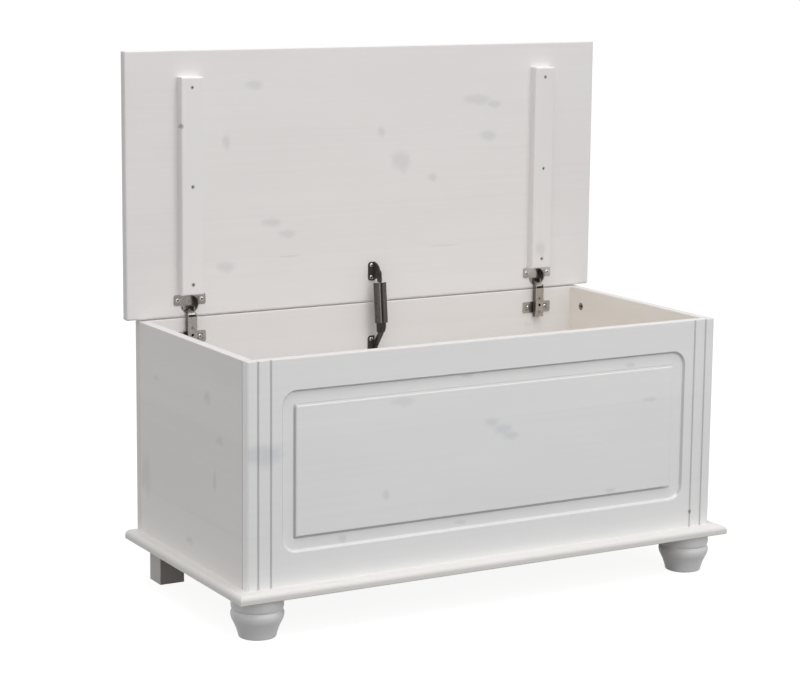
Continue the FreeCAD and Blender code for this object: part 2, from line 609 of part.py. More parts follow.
def make_turned_foot(name, side):
    body = new_body(name)
    place(body, (f"{side} * {FOOT_X}", FOOT_FRONT_Y, "0"))
    sketch = new_sketch(body, name + "_profile", "XZ_Plane")
    outline(sketch, [("0", "0"), ("foot_sole_radius", "0"),
                     ("foot_heel_radius", "foot_heel_height"),
                     ("foot_waist_radius", "foot_waist_height"),
                     ("foot_belly_radius", "foot_belly_low"),
                     ("foot_belly_radius", "foot_belly_high"),
                     ("foot_notch_radius", "foot_notch_height"),
                     ("foot_bead_radius", "foot_bead_low"),
                     ("foot_bead_radius", "foot_height"), ("0", "foot_height")])
    turning = body.newObject("PartDesign::Revolution", name + "_turning")
    turning.Profile = sketch
    turning.ReferenceAxis = (sketch, ["V_Axis"])
    turning.Angle = 360
    sketch.Visibility = False
    peg_bore(body, name + "_bore", "foot_bolt_radius", "foot_bolt_length - foot_bolt_grip",
             ("0", "0", "foot_height"), "-z")


def make_block_foot(name, side):
    body = new_body(name)
    half = "block_foot_width / 2"
    block(body, name + "_block", ("block_foot_width", "block_foot_width", "foot_height"),
          (f"{side} * {FOOT_X} - {half}", f"{FOOT_REAR_Y} - {half}", "0"))
    round_edges(body, name + "_easing", "block_foot_easing",
                lambda edge, box: along(edge, "z"))
    peg_bore(body, name + "_bore", "foot_bolt_radius", "foot_bolt_length - foot_bolt_grip",
             (f"{side} * {FOOT_X}", FOOT_REAR_Y, "foot_height"), "-z")


# ---------------------------------------------------------------- groups of like fasteners

def cylinder(name, radius, length, at, axis="+z"):
    thing = doc.addObject("Part::Cylinder", name)
    bind(thing, "Radius", radius)
    bind(thing, "Height", length)
    thing.Placement.Rotation = AXIS_TURN[axis]
    place(thing, at)
    return thing


def peg(name, radius, length, at, axis="+z", sides=SHANK_SIDES):
    """A shank, dowel or head as a prism that fills its bore."""
    thing = doc.addObject("Part::Prism", name)
    thing.Polygon = sides
    bind(thing, "Circumradius", radius)
    bind(thing, "Height", length)
    thing.Placement.Rotation = AXIS_TURN[axis]
    place(thing, at)
    return thing


def group(name, members):
    """Like fasteners as separate solids in one node."""
    thing = doc.addObject("Part::Compound", name)
    thing.Links = members
    thing.Label = name
    parts.append(thing)
    return thing


def fuse(name, members):
    thing = doc.addObject("Part::MultiFuse", name)
    thing.Shapes = members
    return thing


def box(name, size, at):
    thing = doc.addObject("Part::Box", name)
    for property_name, text in zip(("Length", "Width", "Height"), size):
        bind(thing, property_name, text)
    place(thing, at)
    return thing


def cut(name, base, tool):
    thing = doc.addObject("Part::Cut", name)
    thing.Base = base
    thing.Tool = tool
    return thing


def screw(name, at, length, pan=False):
    """Wood screw driven towards +Y; at is the middle of its head's face.

    Its head is sunk flush, or raised where pan is set."""
    kind = "pan" if pan else "screw"
    head = peg(name + "_head", kind + "_head_radius", kind + "_head_height", at, "+y",
               HEAD_SIDES)
    shank = peg(name + "_shank", "screw_shank_radius", length, at, "+y")
    return fuse(name, [head, shank])


def make_foot_bolts():
    group("foot_bolts", [
        peg(f"foot_bolt_{tag}", "foot_bolt_radius", "foot_bolt_length",
            (f"{side} * {FOOT_X}", y, "foot_height + foot_bolt_grip - foot_bolt_length"))
        for tag, side, y in FEET])


def make_base_screws():
    members = []
    for number, (x, y) in enumerate(base_screw_places(), start=1):
        head = peg(f"base_screw_head_{number}", "base_screw_head_radius",
                   "base_screw_head_height", (x, y, "foot_height"), sides=HEAD_SIDES)
        shank = peg(f"base_screw_shank_{number}", "base_screw_radius",
                    "base_screw_length", (x, y, "foot_height"))
        members.append(fuse(f"base_screw_{number}", [head, shank]))
    group("base_screws", members)


def make_cam_joints():
    cams = []
    bolts = []
    dowels = []
    for side in (-1, 1):
        outward = "+x" if side > 0 else "-x"
        inner = f"({side} * {SIDE_INNER})"
        middle = f"({side} * {SIDE_MIDDLE})"
        for end, face, way in ENDS:
            inward = "+y" if way > 0 else "-y"
            hand = f"{'right' if side > 0 else 'left'}_{end}"
            cam_y = f"({face} + {way} * cam_setback)"
            bolt_start = f"({face} - {way} * cam_bolt_grip)"
            for level, height in CAM_LEVELS:
                tag = f"{hand}_{level}"
                barrel = peg(f"cam_{tag}_barrel", "cam_radius", "cam_depth",
                             (inner, cam_y, height), outward, CAM_SIDES)
                inset = "0" if side > 0 else "driver_slot_depth"
                slot = box(f"cam_{tag}_slot",
                           ("driver_slot_depth", "driver_slot_width", "cam_radius"),
                           (f"{inner} - {inset}", f"{cam_y} - driver_slot_width / 2",
                            f"{height} - cam_radius / 2"))
                cams.append(cut(f"cam_{tag}", barrel, slot))
                bolts.append(peg(f"cam_bolt_{tag}", "cam_bolt_radius",
                                 "cam_bolt_grip + cam_setback - cam_radius",
                                 (middle, bolt_start, height), inward))
            dowels.append(peg(f"dowel_{hand}", "dowel_radius", "dowel_length",
                              (middle, f"({face} - {way} * dowel_grip)", DOWEL_LEVEL), inward))
    group("cam_locks", cams)
    group("cam_bolts", bolts)
    group("wood_dowels", dowels)


# ---------------------------------------------------------------- lid

BATTEN_LOW = f"({LID_EDGE} + batten_start)"
BATTEN_FACE = f"({LID_FACE} - batten_thickness)"
BATTEN_SCREWS = [("low", f"({BATTEN_LOW} + batten_screw_inset)"),
                 ("middle", f"({BATTEN_LOW} + batten_length / 2)"),
                 ("high", f"({BATTEN_LOW} + batten_length - batten_screw_inset)")]


def make_lid_board():
    body = new_body("lid_board")
    block(body, "lid_slab",
          ("carcass_width + 2 * lid_overhang", "lid_thickness", "lid_length"),
          (f"0 - {SIDE_FACE} - lid_overhang", LID_FACE, LID_EDGE))
    round_edges(body, "lid_rounding", "lid_easing", lambda edge, box: True)
    for side in (-1, 1):
        tag = "right" if side > 0 else "left"
        centre = f"({side} * {BATTEN_X})"
        rod(body, f"cup_bore_{tag}", "cup_bore_radius", "cup_depth",
            (centre, LID_FACE, f"{PIVOT_Z} + cup_centre_height"), "+y", cut=True)
        for lean in (-1, 1):
            peg_bore(body, f"flange_bore_{tag}_{'outer' if lean * side > 0 else 'inner'}",
                     "screw_shank_radius", "short_screw_length - pan_head_height - flange_thickness",
                     (f"{centre} + {lean} * flange_screw_offset", LID_FACE,
                     f"{PIVOT_Z} + flange_screw_height"), "+y")
        for level, height in BATTEN_SCREWS:
            peg_bore(body, f"batten_bore_{tag}_{level}", "screw_shank_radius",
                     "batten_screw_length - batten_thickness",
                     (centre, LID_FACE, height), "+y")
    for number, rise in enumerate(("stay_screw_inset",
                                   "stay_plate_height - stay_screw_inset"), start=1):
        peg_bore(body, f"stay_lid_bore_{number}", "screw_shank_radius",
                 "short_screw_length - pan_head_height - stay_steel",
                 ("stay_screw_x", LID_FACE, f"{RIM} + stay_upper_plate_rise + {rise}"),
                 "+y")


def make_batten(name, side):
    body = new_body(name)
    block(body, name + "_strip", ("batten_width", "batten_thickness", "batten_length"),
          (f"{side} * {BATTEN_X} - batten_width / 2", BATTEN_FACE, BATTEN_LOW))
    round_edges(body, name + "_easing", "batten_easing",
                lambda edge, box: near(edge.BoundBox.YMax, box.YMin))
    for level, height in BATTEN_SCREWS:
        at = (f"{side} * {BATTEN_X}", BATTEN_FACE, height)
        peg_bore(body, f"{name}_{level}_bore", "screw_shank_radius", "batten_thickness",
                 at, "+y")
        peg_bore(body, f"{name}_{level}_sinking", "screw_head_radius", "screw_head_height",
                 at, "+y", HEAD_SIDES)


def make_batten_screws():
    group("batten_screws", [
        screw(f"batten_screw_{'right' if side > 0 else 'left'}_{level}",
              (f"{side} * {BATTEN_X}", BATTEN_FACE, height), "batten_screw_length")
        for side in (-1, 1) for level, height in BATTEN_SCREWS])


# ---------------------------------------------------------------- cup hinges

def hinge_body(name, side):
    """A body drawn about the hinge axis at the middle of one hinge."""
    body = new_body(name)
    place(body, (f"{side} * {BATTEN_X}", PIVOT_Y, PIVOT_Z))
    return body


def make_hinge_cup(name, side):
    body = hinge_body(name, side)
    face = FACE_FROM_PIVOT
    centre = "cup_centre_height"
    rod(body, name + "_shell", "cup_radius", "cup_depth", ("0", face, centre), "+y")
    rod(body, name + "_rim", "cup_rim_radius", "cup_rim_height",
        ("0", f"{face} - cup_rim_height", centre), "+y")
    block(body, name + "_flange",
          ("flange_width", "flange_thickness", "flange_high - flange_low"),
          ("0 - flange_width / 2", f"{face} - flange_thickness", "flange_low"))
    round_edges(body, name + "_flange_corners", "cup_rim_height * 4",
                lambda edge, box: along(edge, "y")
                and (near(edge.BoundBox.XMin, box.XMin) or near(edge.BoundBox.XMax, box.XMax)))
    rod(body, name + "_hollow", "cup_radius - cup_wall",
        "cup_depth - cup_wall + flange_thickness",
        ("0", f"{face} - flange_thickness", centre), "+y", cut=True)
    for lean in (-1, 1):
        tag = "right" if lean > 0 else "left"
        start = "cheek_inner" if lean > 0 else "(0 - cheek_outer)"
        block(body, f"{name}_cheek_{tag}",
              ("cheek_outer - cheek_inner", "cup_depth - cup_wall - cheek_depth",
               "cheek_high - cheek_low"),
              (start, f"{face} + cheek_depth", "cheek_low"))
        at = (f"{lean} * flange_screw_offset", f"{face} - flange_thickness",
              "flange_screw_height")
        peg_bore(body, f"{name}_screw_hole_{tag}", "screw_shank_radius", "flange_thickness",
                 at, "+y")


def make_hinge_arm(name, side):
    body = hinge_body(name, side)
    half = "hinge_arm_width / 2"
    depth = "hinge_arm_front - hinge_arm_rear"
    length = "hinge_arm_bottom - hinge_arm_top"
    block(body, name + "_channel", ("hinge_arm_width", depth, length),
          (f"0 - {half}", "0 - hinge_arm_front", "0 - hinge_arm_bottom"))
    round_edges(body, name + "_nose", "hinge_steel * 2",
                lambda edge, box: along(edge, "x"))
    block(body, name + "_inside",
          ("hinge_arm_width - 2 * hinge_steel", depth, f"{length} + 2"),
          (f"hinge_steel - {half}", "hinge_steel - hinge_arm_front",
           "0 - hinge_arm_bottom - 1"), cut=True)
    block(body, name + "_window",
          ("hinge_arm_width - 2 * hinge_steel", "hinge_steel * 2", "hinge_arm_window"),
          (f"hinge_steel - {half}", "0 - hinge_arm_front - hinge_steel / 2",
           "0 - hinge_arm_window"), cut=True)
    for tag, out, down in (("outer", "outer_pin_out", "outer_pin_down"),
                           ("inner", "inner_pin_out", "inner_pin_down")):
        rod(body, f"{name}_{tag}_hole", "pin_radius", "hinge_arm_width",
            (f"0 - {half}", f"0 - {out}", f"0 - {down}"), "+x", cut=True)
    rod(body, name + "_keyhole", "keyhole_radius", "hinge_steel",
        ("0", "0 - hinge_arm_front", "0 - keyhole_drop"), "+y", cut=True)
    for tag, drop in (("adjusting", "adjusting_screw_drop"), ("fixing", "fixing_screw_drop")):
        peg_bore(body, f"{name}_{tag}_hole", "arm_screw_radius", "hinge_steel",
                 ("0", "0 - hinge_arm_front", f"0 - {drop}"), "+y", HEAD_SIDES)


def make_hinge_plate(name, side):
    body = hinge_body(name, side)
    wall = BACK_FROM_PIVOT
    block(body, name + "_wings", ("plate_width", "plate_thickness", "plate_low - plate_high"),
          ("0 - plate_width / 2", f"{wall} - plate_thickness", "0 - plate_low"))
    round_edges(body, name + "_wing_corners", "hinge_steel * 3",
                lambda edge, box: along(edge, "y"))
    width = "(hinge_arm_width - 2 * hinge_steel)"
    block(body, name + "_block",
          (width, f"hinge_arm_front - hinge_steel + {wall}", "plate_block_low - plate_block_high"),
          (f"0 - {width} / 2", "hinge_steel - hinge_arm_front", "0 - plate_block_low"))
    for lean in (-1, 1):
        peg_bore(body, f"{name}_screw_hole_{'right' if lean > 0 else 'left'}",
                 "screw_shank_radius", "plate_thickness",
                 (f"{lean} * plate_screw_offset", f"{wall} - plate_thickness",
                 "0 - (plate_high + plate_low) / 2"), "+y")
    front = "hinge_steel - hinge_arm_front"
    peg_bore(body, name + "_fixing_bore", "arm_screw_radius", "fixing_screw_length",
             ("0", front, "0 - fixing_screw_drop"), "+y", HEAD_SIDES)
    rod(body, name + "_keyhole_bore", "keyhole_radius", "keyhole_bore_depth",
        ("0", front, "0 - keyhole_drop"), "+y", cut=True)


def make_outer_link(name, side):
    """A bent steel saddle: two side plates, joined by a web at the arm's end."""
    body = hinge_body(name, side)
    prism(body, name + "_saddle",
          [("0 - outer_pin_out - saddle_eye_wall", "0 - outer_pin_down"),
           ("0 - outer_pin_out - saddle_back_out", "saddle_back_rise - outer_pin_down"),
           ("saddle_shoulder - outer_pin_out", "outer_end_up + link_end_radius"),
           ("0 - outer_end_out", "outer_end_up + link_end_radius"),
           ("0 - outer_end_out", "outer_end_up - link_end_radius"),
           ("saddle_step - hinge_arm_rear", "outer_end_up - link_end_radius"),
           ("saddle_belly_in - outer_pin_out", "saddle_belly_rise - outer_pin_down"),
           ("saddle_heel_in - outer_pin_out", "0 - outer_pin_down - saddle_heel_drop"),
           ("0 - outer_pin_out", "0 - outer_pin_down - saddle_eye_wall")],
          "YZ_Plane", "outer_link_width", middle=True)
    inside = "(outer_link_width - 2 * hinge_steel)"
    prism(body, name + "_inside",
          [("web_foot_in - outer_pin_out", "0 - outer_pin_down - web_margin"),
           ("web_bend_in - outer_pin_out", "web_bend_rise - outer_pin_down"),
           ("web_crest_in - outer_pin_out", "outer_end_up - web_crest_drop"),
           ("web_end_in - outer_pin_out", "outer_end_up - web_end_drop"),
           ("web_end_in - outer_pin_out", "outer_end_up + web_margin"),
           ("0", "outer_end_up + web_margin"),
           ("0", "0 - outer_pin_down - web_margin")],
          "YZ_Plane", inside, cut=True, middle=True)
    rod(body, name + "_eye", "pin_radius + pin_clearance", "outer_link_width",
        ("0 - outer_link_width / 2", "0 - outer_pin_out", "0 - outer_pin_down"),
        "+x", cut=True)
    for lean in (-1, 1):
        start = "outer_link_width / 2 - hinge_steel" if lean > 0 else "0 - outer_link_width / 2"
        rod(body, f"{name}_cup_eye_{'right' if lean > 0 else 'left'}", "link_end_radius",
            "hinge_steel", (start, "0 - outer_end_out", "outer_end_up"), "+x")


def make_inner_link(name, side):
    """A cranked steel lever between the arm and the cup, inside the outer link."""
    body = hinge_body(name, side)
    prism(body, name + "_lever",
          [("0 - inner_pin_out - lever_eye_wall", "lever_back_rise - inner_pin_down"),
           ("0 - inner_pin_out - lever_heel_out", "0 - inner_pin_down - lever_heel_drop"),
           ("lever_eye_wall - inner_pin_out", "0 - inner_pin_down - lever_heel_out"),
           ("lever_knee_in - inner_pin_out", "lever_knee_rise - inner_pin_down"),
           ("lever_crank_in - inner_pin_out", "lever_crank_rise - inner_pin_down"),
           ("0 - inner_end_out", "inner_end_up - link_end_radius"),
           ("0 - inner_end_out", "inner_end_up + link_end_radius"),
           ("lever_crest_in - inner_pin_out", "inner_end_up + lever_crest_rise"),
           ("lever_shoulder_in - inner_pin_out", "lever_shoulder_rise - inner_pin_down")],
          "YZ_Plane", "inner_link_width", middle=True)
    rod(body, name + "_eye", "pin_radius + pin_clearance", "inner_link_width",
        ("0 - inner_link_width / 2", "0 - inner_pin_out", "0 - inner_pin_down"),
        "+x", cut=True)
    rod(body, name + "_cup_eye", "link_end_radius", "inner_link_width",
        ("0 - inner_link_width / 2", "0 - inner_end_out", "inner_end_up"), "+x")


def make_hinge_fasteners():
    pins = []
    arm_screws = []
    plate_screws = []
    cup_screws = []
    for side in (-1, 1):
        hand = "right" if side > 0 else "left"
        centre = f"({side} * {BATTEN_X})"
        for tag, out, down in (("outer", "outer_pin_out", "outer_pin_down"),
                               ("inner", "inner_pin_out", "inner_pin_down")):
            pins.append(cylinder(
                f"hinge_pin_{hand}_{tag}", "pin_radius", "hinge_arm_width + 2 * pin_stand",
                (f"{centre} - hinge_arm_width / 2 - pin_stand", f"{PIVOT_Y} - {out}",
                 f"{PIVOT_Z} - {down}"), "+x"))
        for tag, drop, length in (("adjusting", "adjusting_screw_drop", "adjusting_screw_length"),
                                  ("fixing", "fixing_screw_drop", "fixing_screw_length")):
            face = f"({PIVOT_Y} - hinge_arm_front - arm_screw_stand)"
            height = f"({PIVOT_Z} - {drop})"
            barrel = peg(f"arm_screw_{hand}_{tag}_barrel", "arm_screw_radius",
                         f"{length} + hinge_steel", (centre, face, height), "+y", HEAD_SIDES)
            slot = box(f"arm_screw_{hand}_{tag}_slot",
                       ("driver_slot_width", "driver_slot_depth", "arm_screw_radius * 2"),
                       (f"{centre} - driver_slot_width / 2", face,
                        f"{height} - arm_screw_radius"))
            arm_screws.append(cut(f"arm_screw_{hand}_{tag}", barrel, slot))
        for lean in (-1, 1):
            tag = "outer" if lean * side > 0 else "inner"
            plate_screws.append(screw(
                f"plate_screw_{hand}_{tag}",
                (f"{centre} + {lean} * plate_screw_offset",
                 f"({BACK_INNER} - plate_thickness - pan_head_height)",
                 f"({PIVOT_Z} - (plate_high + plate_low) / 2)"),
                "short_screw_length", pan=True))
            cup_screws.append(screw(
                f"cup_screw_{hand}_{tag}",
                (f"{centre} + {lean} * flange_screw_offset",
                 f"({LID_FACE} - flange_thickness - pan_head_height)",
                 f"({PIVOT_Z} + flange_screw_height)"), "short_screw_length", pan=True))
    group("hinge_arm_pins", pins)
    group("hinge_arm_screws", arm_screws)
    group("hinge_plate_screws", plate_screws)
    group("hinge_cup_screws", cup_screws)


# ---------------------------------------------------------------- lid stay

def bracket_plate(body, name, face, low):
    block(body, name + "_plate", ("stay_plate_width", "stay_steel", "stay_plate_height"),
          ("0 - stay_plate_left", f"{face} - stay_steel", low))
    round_edges(body, name + "_plate_ends", "stay_plate_rounding",
                lambda edge, box: along(edge, "y") and near(edge.BoundBox.XMin, box.XMin))
    for number, rise in enumerate(("stay_screw_inset",
                                   "stay_plate_height - stay_screw_inset"), start=1):
        peg_bore(body, f"{name}_hole_{number}", "screw_shank_radius", "stay_steel",
                 ("stay_screw_x", f"{face} - stay_steel", f"{low} + {rise}"), "+y")


def make_upper_bracket():
    """Plate on the lid with an ear that is bent forward and carries the pivot."""
    name = "stay_upper_bracket"
    body = new_body(name)
    place(body, ("0", LID_FACE, RIM))
    bracket_plate(body, name, "0", "stay_upper_plate_rise")
    low = "stay_upper_plate_rise"
    top = f"{low} + stay_plate_height"
    prism(body, name + "_ear",
          [("0", f"{low} + ear_low_rise"), ("0 - ear_bend_out", f"{low} + ear_bend_rise"),
           ("0 - stay_pivot_out", "stay_pivot_rise - ear_below"),
           ("0 - stay_pivot_out - ear_chin", "stay_pivot_rise - ear_chin"),
           ("0 - stay_pivot_out - ear_front", "stay_pivot_rise + ear_front_rise"),
           ("0 - stay_pivot_out - ear_brow_out", f"{top} - ear_brow_drop"),
           ("ear_crown_in - stay_pivot_out", f"{top} - ear_crown_drop"), ("0", top)],
          "YZ_Plane", "stay_steel", away=STAY_EAR)
    rod(body, name + "_eye", "stay_rivet_radius", "stay_steel",
        (STAY_EAR, "0 - stay_pivot_out", "stay_pivot_rise"), "+x", cut=True)


def make_lower_bracket():
    """Plate on the back panel whose ear reaches up and forward to the guide head."""
    name = "stay_lower_bracket"
    body = new_body(name)
    place(body, ("0", BACK_INNER, RIM))
    low = "0 - stay_lower_plate_drop - stay_plate_height"
    bracket_plate(body, name, "0", low)
    joint = "0 - stay_lower_plate_drop - strap_joint_drop"
    end = "0 - stay_guide_drop - guide_below - strap_gap"
    prism(body, name + "_neck",
          [("0", f"{low} + neck_root_rise"), ("0 - neck_heel_out", f"{low} + neck_heel_rise"),
           ("0 - neck_shin_out", f"{low} + neck_shin_rise"),
           ("neck_nape_in - stay_guide_out - strap_depth", end),
           ("0 - stay_guide_out - neck_front + guide_toe", "0 - stay_guide_drop - neck_front_drop"),
           ("0 - stay_guide_out - neck_front", "0 - stay_guide_drop"),
           ("neck_rear - stay_guide_out", "0 - stay_guide_drop"),
           ("neck_nape_in - stay_guide_out", "0 - stay_guide_drop - neck_nape_drop"),
           ("0 - neck_throat_out", "0 - stay_lower_plate_drop - neck_throat_drop"),
           ("0 - neck_heel_out", "0 - stay_lower_plate_drop - neck_collar_drop"),
           ("0", "0 - stay_lower_plate_drop - neck_joint_drop")],
          "YZ_Plane", "stay_steel", away=STAY_EAR)
    prism(body, name + "_strap",
          [("0 - strap_out", end), ("strap_depth - strap_out", end), ("0", joint),
           ("0", f"{joint} - strap_joint_height"),
           ("0 - stay_steel", f"{joint} - strap_joint_height")],
          "YZ_Plane", "strap_width", away="strap_left")


def make_guide_head():
    """Block on the neck's end that runs in the cover's two barrels."""
    name = "stay_guide_head"
    body = new_body(name)
    place(body, (STAY_MIDDLE, f"{BACK_INNER} - stay_guide_out", f"{RIM} - stay_guide_drop"))
    body.Placement.Rotation = FreeCAD.Rotation(FreeCAD.Vector(-1, 0, 0), 1)
    bind(body, "Placement.Rotation.Angle", STAY_LEAN)
    block(body, name + "_block",
          ("guide_width", "guide_front + guide_rear", "guide_above + guide_below"),
          ("0 - guide_width / 2", "0 - guide_front", "0 - guide_below"))
    round_edges(body, name + "_corners", "guide_rounding",
                lambda edge, box: along(edge, "y") and near(edge.BoundBox.ZMin, box.ZMin))
    prism(body, name + "_slope",
          [("0 - guide_front", "0"), ("guide_toe", "0 - guide_below"),
           ("guide_toe", "0 - guide_below - 1"), ("0 - guide_front - 1", "0 - guide_below - 1"),
           ("0 - guide_front - 1", "0")],
          "YZ_Plane", "guide_width + 1", cut=True, middle=True)
    block(body, name + "_slot",
          ("stay_steel", "guide_front + guide_rear + 2", "guide_below + 1"),
          (f"{STAY_EAR} - {STAY_MIDDLE}", "0 - guide_front - 1", "0 - guide_below"), cut=True)


def stay_body(name):
    """A body drawn about the stay's upper pivot, leaning as the open stay leans."""
    body = new_body(name)
    place(body, (STAY_MIDDLE, f"{LID_FACE} - stay_pivot_out", f"{RIM} + stay_pivot_rise"))
    body.Placement.Rotation = FreeCAD.Rotation(FreeCAD.Vector(-1, 0, 0), 1)
    bind(body, "Placement.Rotation.Angle", STAY_LEAN)
    return body


def make_stay_arm():
    name = "stay_arm"
    body = stay_body(name)
    half = "stay_steel / 2"
    shoulder = "(1 - stay_tube_start)"
    foot = "(0 - stay_tube_start - stay_cap_depth)"
    prism(body, name + "_strap",
          [("0 - stay_arm_radius", "0"), ("0 - stay_arm_radius", shoulder),
           ("0 - stay_tongue_front", f"{shoulder} - 0.5"), ("0 - stay_tongue_front", foot),
           ("stay_tube_rear", foot), ("stay_tube_rear", f"{shoulder} - 0.5"),
           ("stay_arm_radius", shoulder), ("stay_arm_radius", "0")],
          "YZ_Plane", "stay_steel", middle=True)
    rod(body, name + "_end", "stay_arm_radius", "stay_steel", (f"0 - {half}", "0", "0"), "+x")
    rod(body, name + "_eye", "stay_rivet_radius + pin_clearance", "stay_steel",
        (f"0 - {half}", "0", "0"), "+x", cut=True)


def make_stay_cover():
    """Two joined barrels, open at the rear, with an end cap a little below the upper rim."""
    name = "stay_cover"
    body = stay_body(name)
    length = "(stay_tube_end - stay_tube_start)"
    inside = "(stay_tube_radius - stay_tube_wall)"
    cap = "(stay_tube_start + stay_cap_depth)"
    for lean in (-1, 1):
        tag = "right" if lean > 0 else "left"
        rod(body, f"{name}_barrel_{tag}", "stay_tube_radius", length,
            (f"{lean} * stay_tube_offset", "0", "0 - stay_tube_end"))
    for lean in (-1, 1):
        tag = "right" if lean > 0 else "left"
        x = f"{lean} * stay_tube_offset"
        rod(body, f"{name}_hollow_{tag}", inside,
            f"stay_tube_end - {cap} - stay_cap_thickness", (x, "0", "0 - stay_tube_end"),
            cut=True)
        rod(body, f"{name}_mouth_{tag}", inside, "stay_cap_depth", (x, "0", f"0 - {cap}"),
            cut=True)
    block(body, name + "_rear", ("4 * stay_tube_radius", "stay_tube_radius", f"{length} + 2"),
          ("0 - 2 * stay_tube_radius", "stay_tube_rear", "0 - stay_tube_end - 1"), cut=True)


def make_stay_rivet():
    name = "stay_rivet"
    body = new_body(name)
    y = f"({LID_FACE} - stay_pivot_out)"
    z = f"({RIM} + stay_pivot_rise)"
    end = f"({STAY_ARM} + stay_steel + stay_gap)"
    rod(body, name + "_shank", "stay_rivet_radius", f"{end} - {STAY_EAR}",
        (STAY_EAR, y, z), "+x")
    rod(body, name + "_head", "stay_rivet_head_radius", "stay_rivet_head_height",
        (end, y, z), "+x")
    rod(body, name + "_tail", "stay_rivet_head_radius", "stay_rivet_head_height",
        (STAY_EAR, y, z), "-x")


def make_stay_screws():
    upper = []
    lower = []
    for number, rise in enumerate(("stay_screw_inset",
                                   "stay_plate_height - stay_screw_inset"), start=1):
        upper.append(screw(
            f"stay_upper_screw_{number}",
            ("stay_screw_x", f"({LID_FACE} - stay_steel - pan_head_height)",
             f"({RIM} + stay_upper_plate_rise + {rise})"), "short_screw_length", pan=True))
        lower.append(screw(
            f"stay_lower_screw_{number}",
            ("stay_screw_x", f"({BACK_INNER} - stay_steel - pan_head_height)",
             f"({RIM} - stay_lower_plate_drop - ({rise}))"), "short_screw_length", pan=True))
    group("stay_upper_screws", upper)
    group("stay_lower_screws", lower)


# ---------------------------------------------------------------- assembly

fill_sheet()
make_base_board()
make_front_panel()
make_back_panel()
make_side_panel("side_panel_left", -1)
make_side_panel("side_panel_right", 1)
make_turned_foot("foot_front_left", -1)
make_turned_foot("foot_front_right", 1)
make_block_foot("foot_rear_left", -1)
make_block_foot("foot_rear_right", 1)
make_foot_bolts()
make_base_screws()
make_cam_joints()
make_lid_board()
make_batten("batten_left", -1)
make_batten("batten_right", 1)
make_batten_screws()
for hand, sign in (("left", -1), ("right", 1)):
    make_hinge_cup(f"hinge_cup_{hand}", sign)
    make_hinge_arm(f"hinge_arm_{hand}", sign)
    make_hinge_plate(f"hinge_plate_{hand}", sign)
    make_outer_link(f"outer_link_{hand}", sign)
    make_inner_link(f"inner_link_{hand}", sign)
make_hinge_fasteners()
make_upper_bracket()
make_lower_bracket()
make_guide_head()
make_stay_arm()
make_stay_cover()
make_stay_rivet()
make_stay_screws()
doc.recompute()

for item in doc.Objects:
    if "Invalid" in item.State or "Error" in item.State:
        raise RuntimeError(f"{item.Name} did not compute: {item.State}")

os.makedirs("parts", exist_ok=True)
for item in parts:
    if item.Shape.isNull() or not item.Shape.isValid() or not item.Shape.Solids:
        raise RuntimeError(f"{item.Label} has no valid solid")
    item.Shape.exportStep(f"parts/{item.Label}.step")
print(len(parts), "nodes")
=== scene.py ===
# %% [markdown]
# # A blanket chest in white-glazed pine
#
# The chest is a box of four pine boards on a base board, with turned feet in front and
# square feet behind. Its lid hangs on two cup hinges and stands open against a small dark
# stay. The CAD model holds every board and fitting in its exact place. This lesson loads
# that model, sets up the camera and the light, and then gives each surface its finish:
# a thin white glaze through which the pine still shows, semi-bright nickel and dark enamel.

import json
import math

import bmesh
import bpy
import numpy as np
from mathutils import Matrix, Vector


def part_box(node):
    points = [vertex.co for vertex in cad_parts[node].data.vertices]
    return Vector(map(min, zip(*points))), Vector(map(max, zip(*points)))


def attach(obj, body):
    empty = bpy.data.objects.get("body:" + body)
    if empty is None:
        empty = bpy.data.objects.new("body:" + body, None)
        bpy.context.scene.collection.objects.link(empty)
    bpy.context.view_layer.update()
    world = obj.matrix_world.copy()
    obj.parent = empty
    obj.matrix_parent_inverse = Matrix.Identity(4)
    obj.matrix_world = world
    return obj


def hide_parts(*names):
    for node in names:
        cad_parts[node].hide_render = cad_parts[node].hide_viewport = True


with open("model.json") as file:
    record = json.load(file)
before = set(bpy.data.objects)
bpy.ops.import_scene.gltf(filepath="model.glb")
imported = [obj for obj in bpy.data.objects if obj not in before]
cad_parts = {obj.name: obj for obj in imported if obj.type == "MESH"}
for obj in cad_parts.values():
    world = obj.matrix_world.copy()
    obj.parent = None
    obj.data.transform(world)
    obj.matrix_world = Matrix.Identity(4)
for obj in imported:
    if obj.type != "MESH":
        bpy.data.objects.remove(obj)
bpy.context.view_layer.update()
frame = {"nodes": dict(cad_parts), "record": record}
NODES = frame["nodes"]
print("nodes:", len(NODES))

# %% Corners of the nodes
MM = 0.001


def low(node):
    """The lowest x, y and z of a node, in metres."""
    return np.array(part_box(node)[0])


def high(node):
    """The highest x, y and z of a node, in metres."""
    return np.array(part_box(node)[1])


FRONT_Y = low("front_panel")[1]
LID_Y = low("lid_board")[1]
RIM_Z = high("front_panel")[2]
SIDE_X = high("front_panel")[0]
print("front face at", round(FRONT_Y, 4), "lid's inner face at", round(LID_Y, 4))

# %% [markdown]
# ## The camera
#
# A camera in Blender looks along its own -Z axis. This one stands to the left of the chest
# and a little above the open lid. It looks 28 degrees to the right and 9 degrees down, with
# a long lens, so that upright edges stay nearly upright. A small lens shift moves the chest
# in the picture without turning the camera.

# %% Camera
CAMERA_PLACE = (-2.07321, -3.45264, 1.16636)
CAMERA_TURN = (80.5805, -0.2244, -28.0768)
LENS = 100.46
SHIFT = (0.10, -0.05)

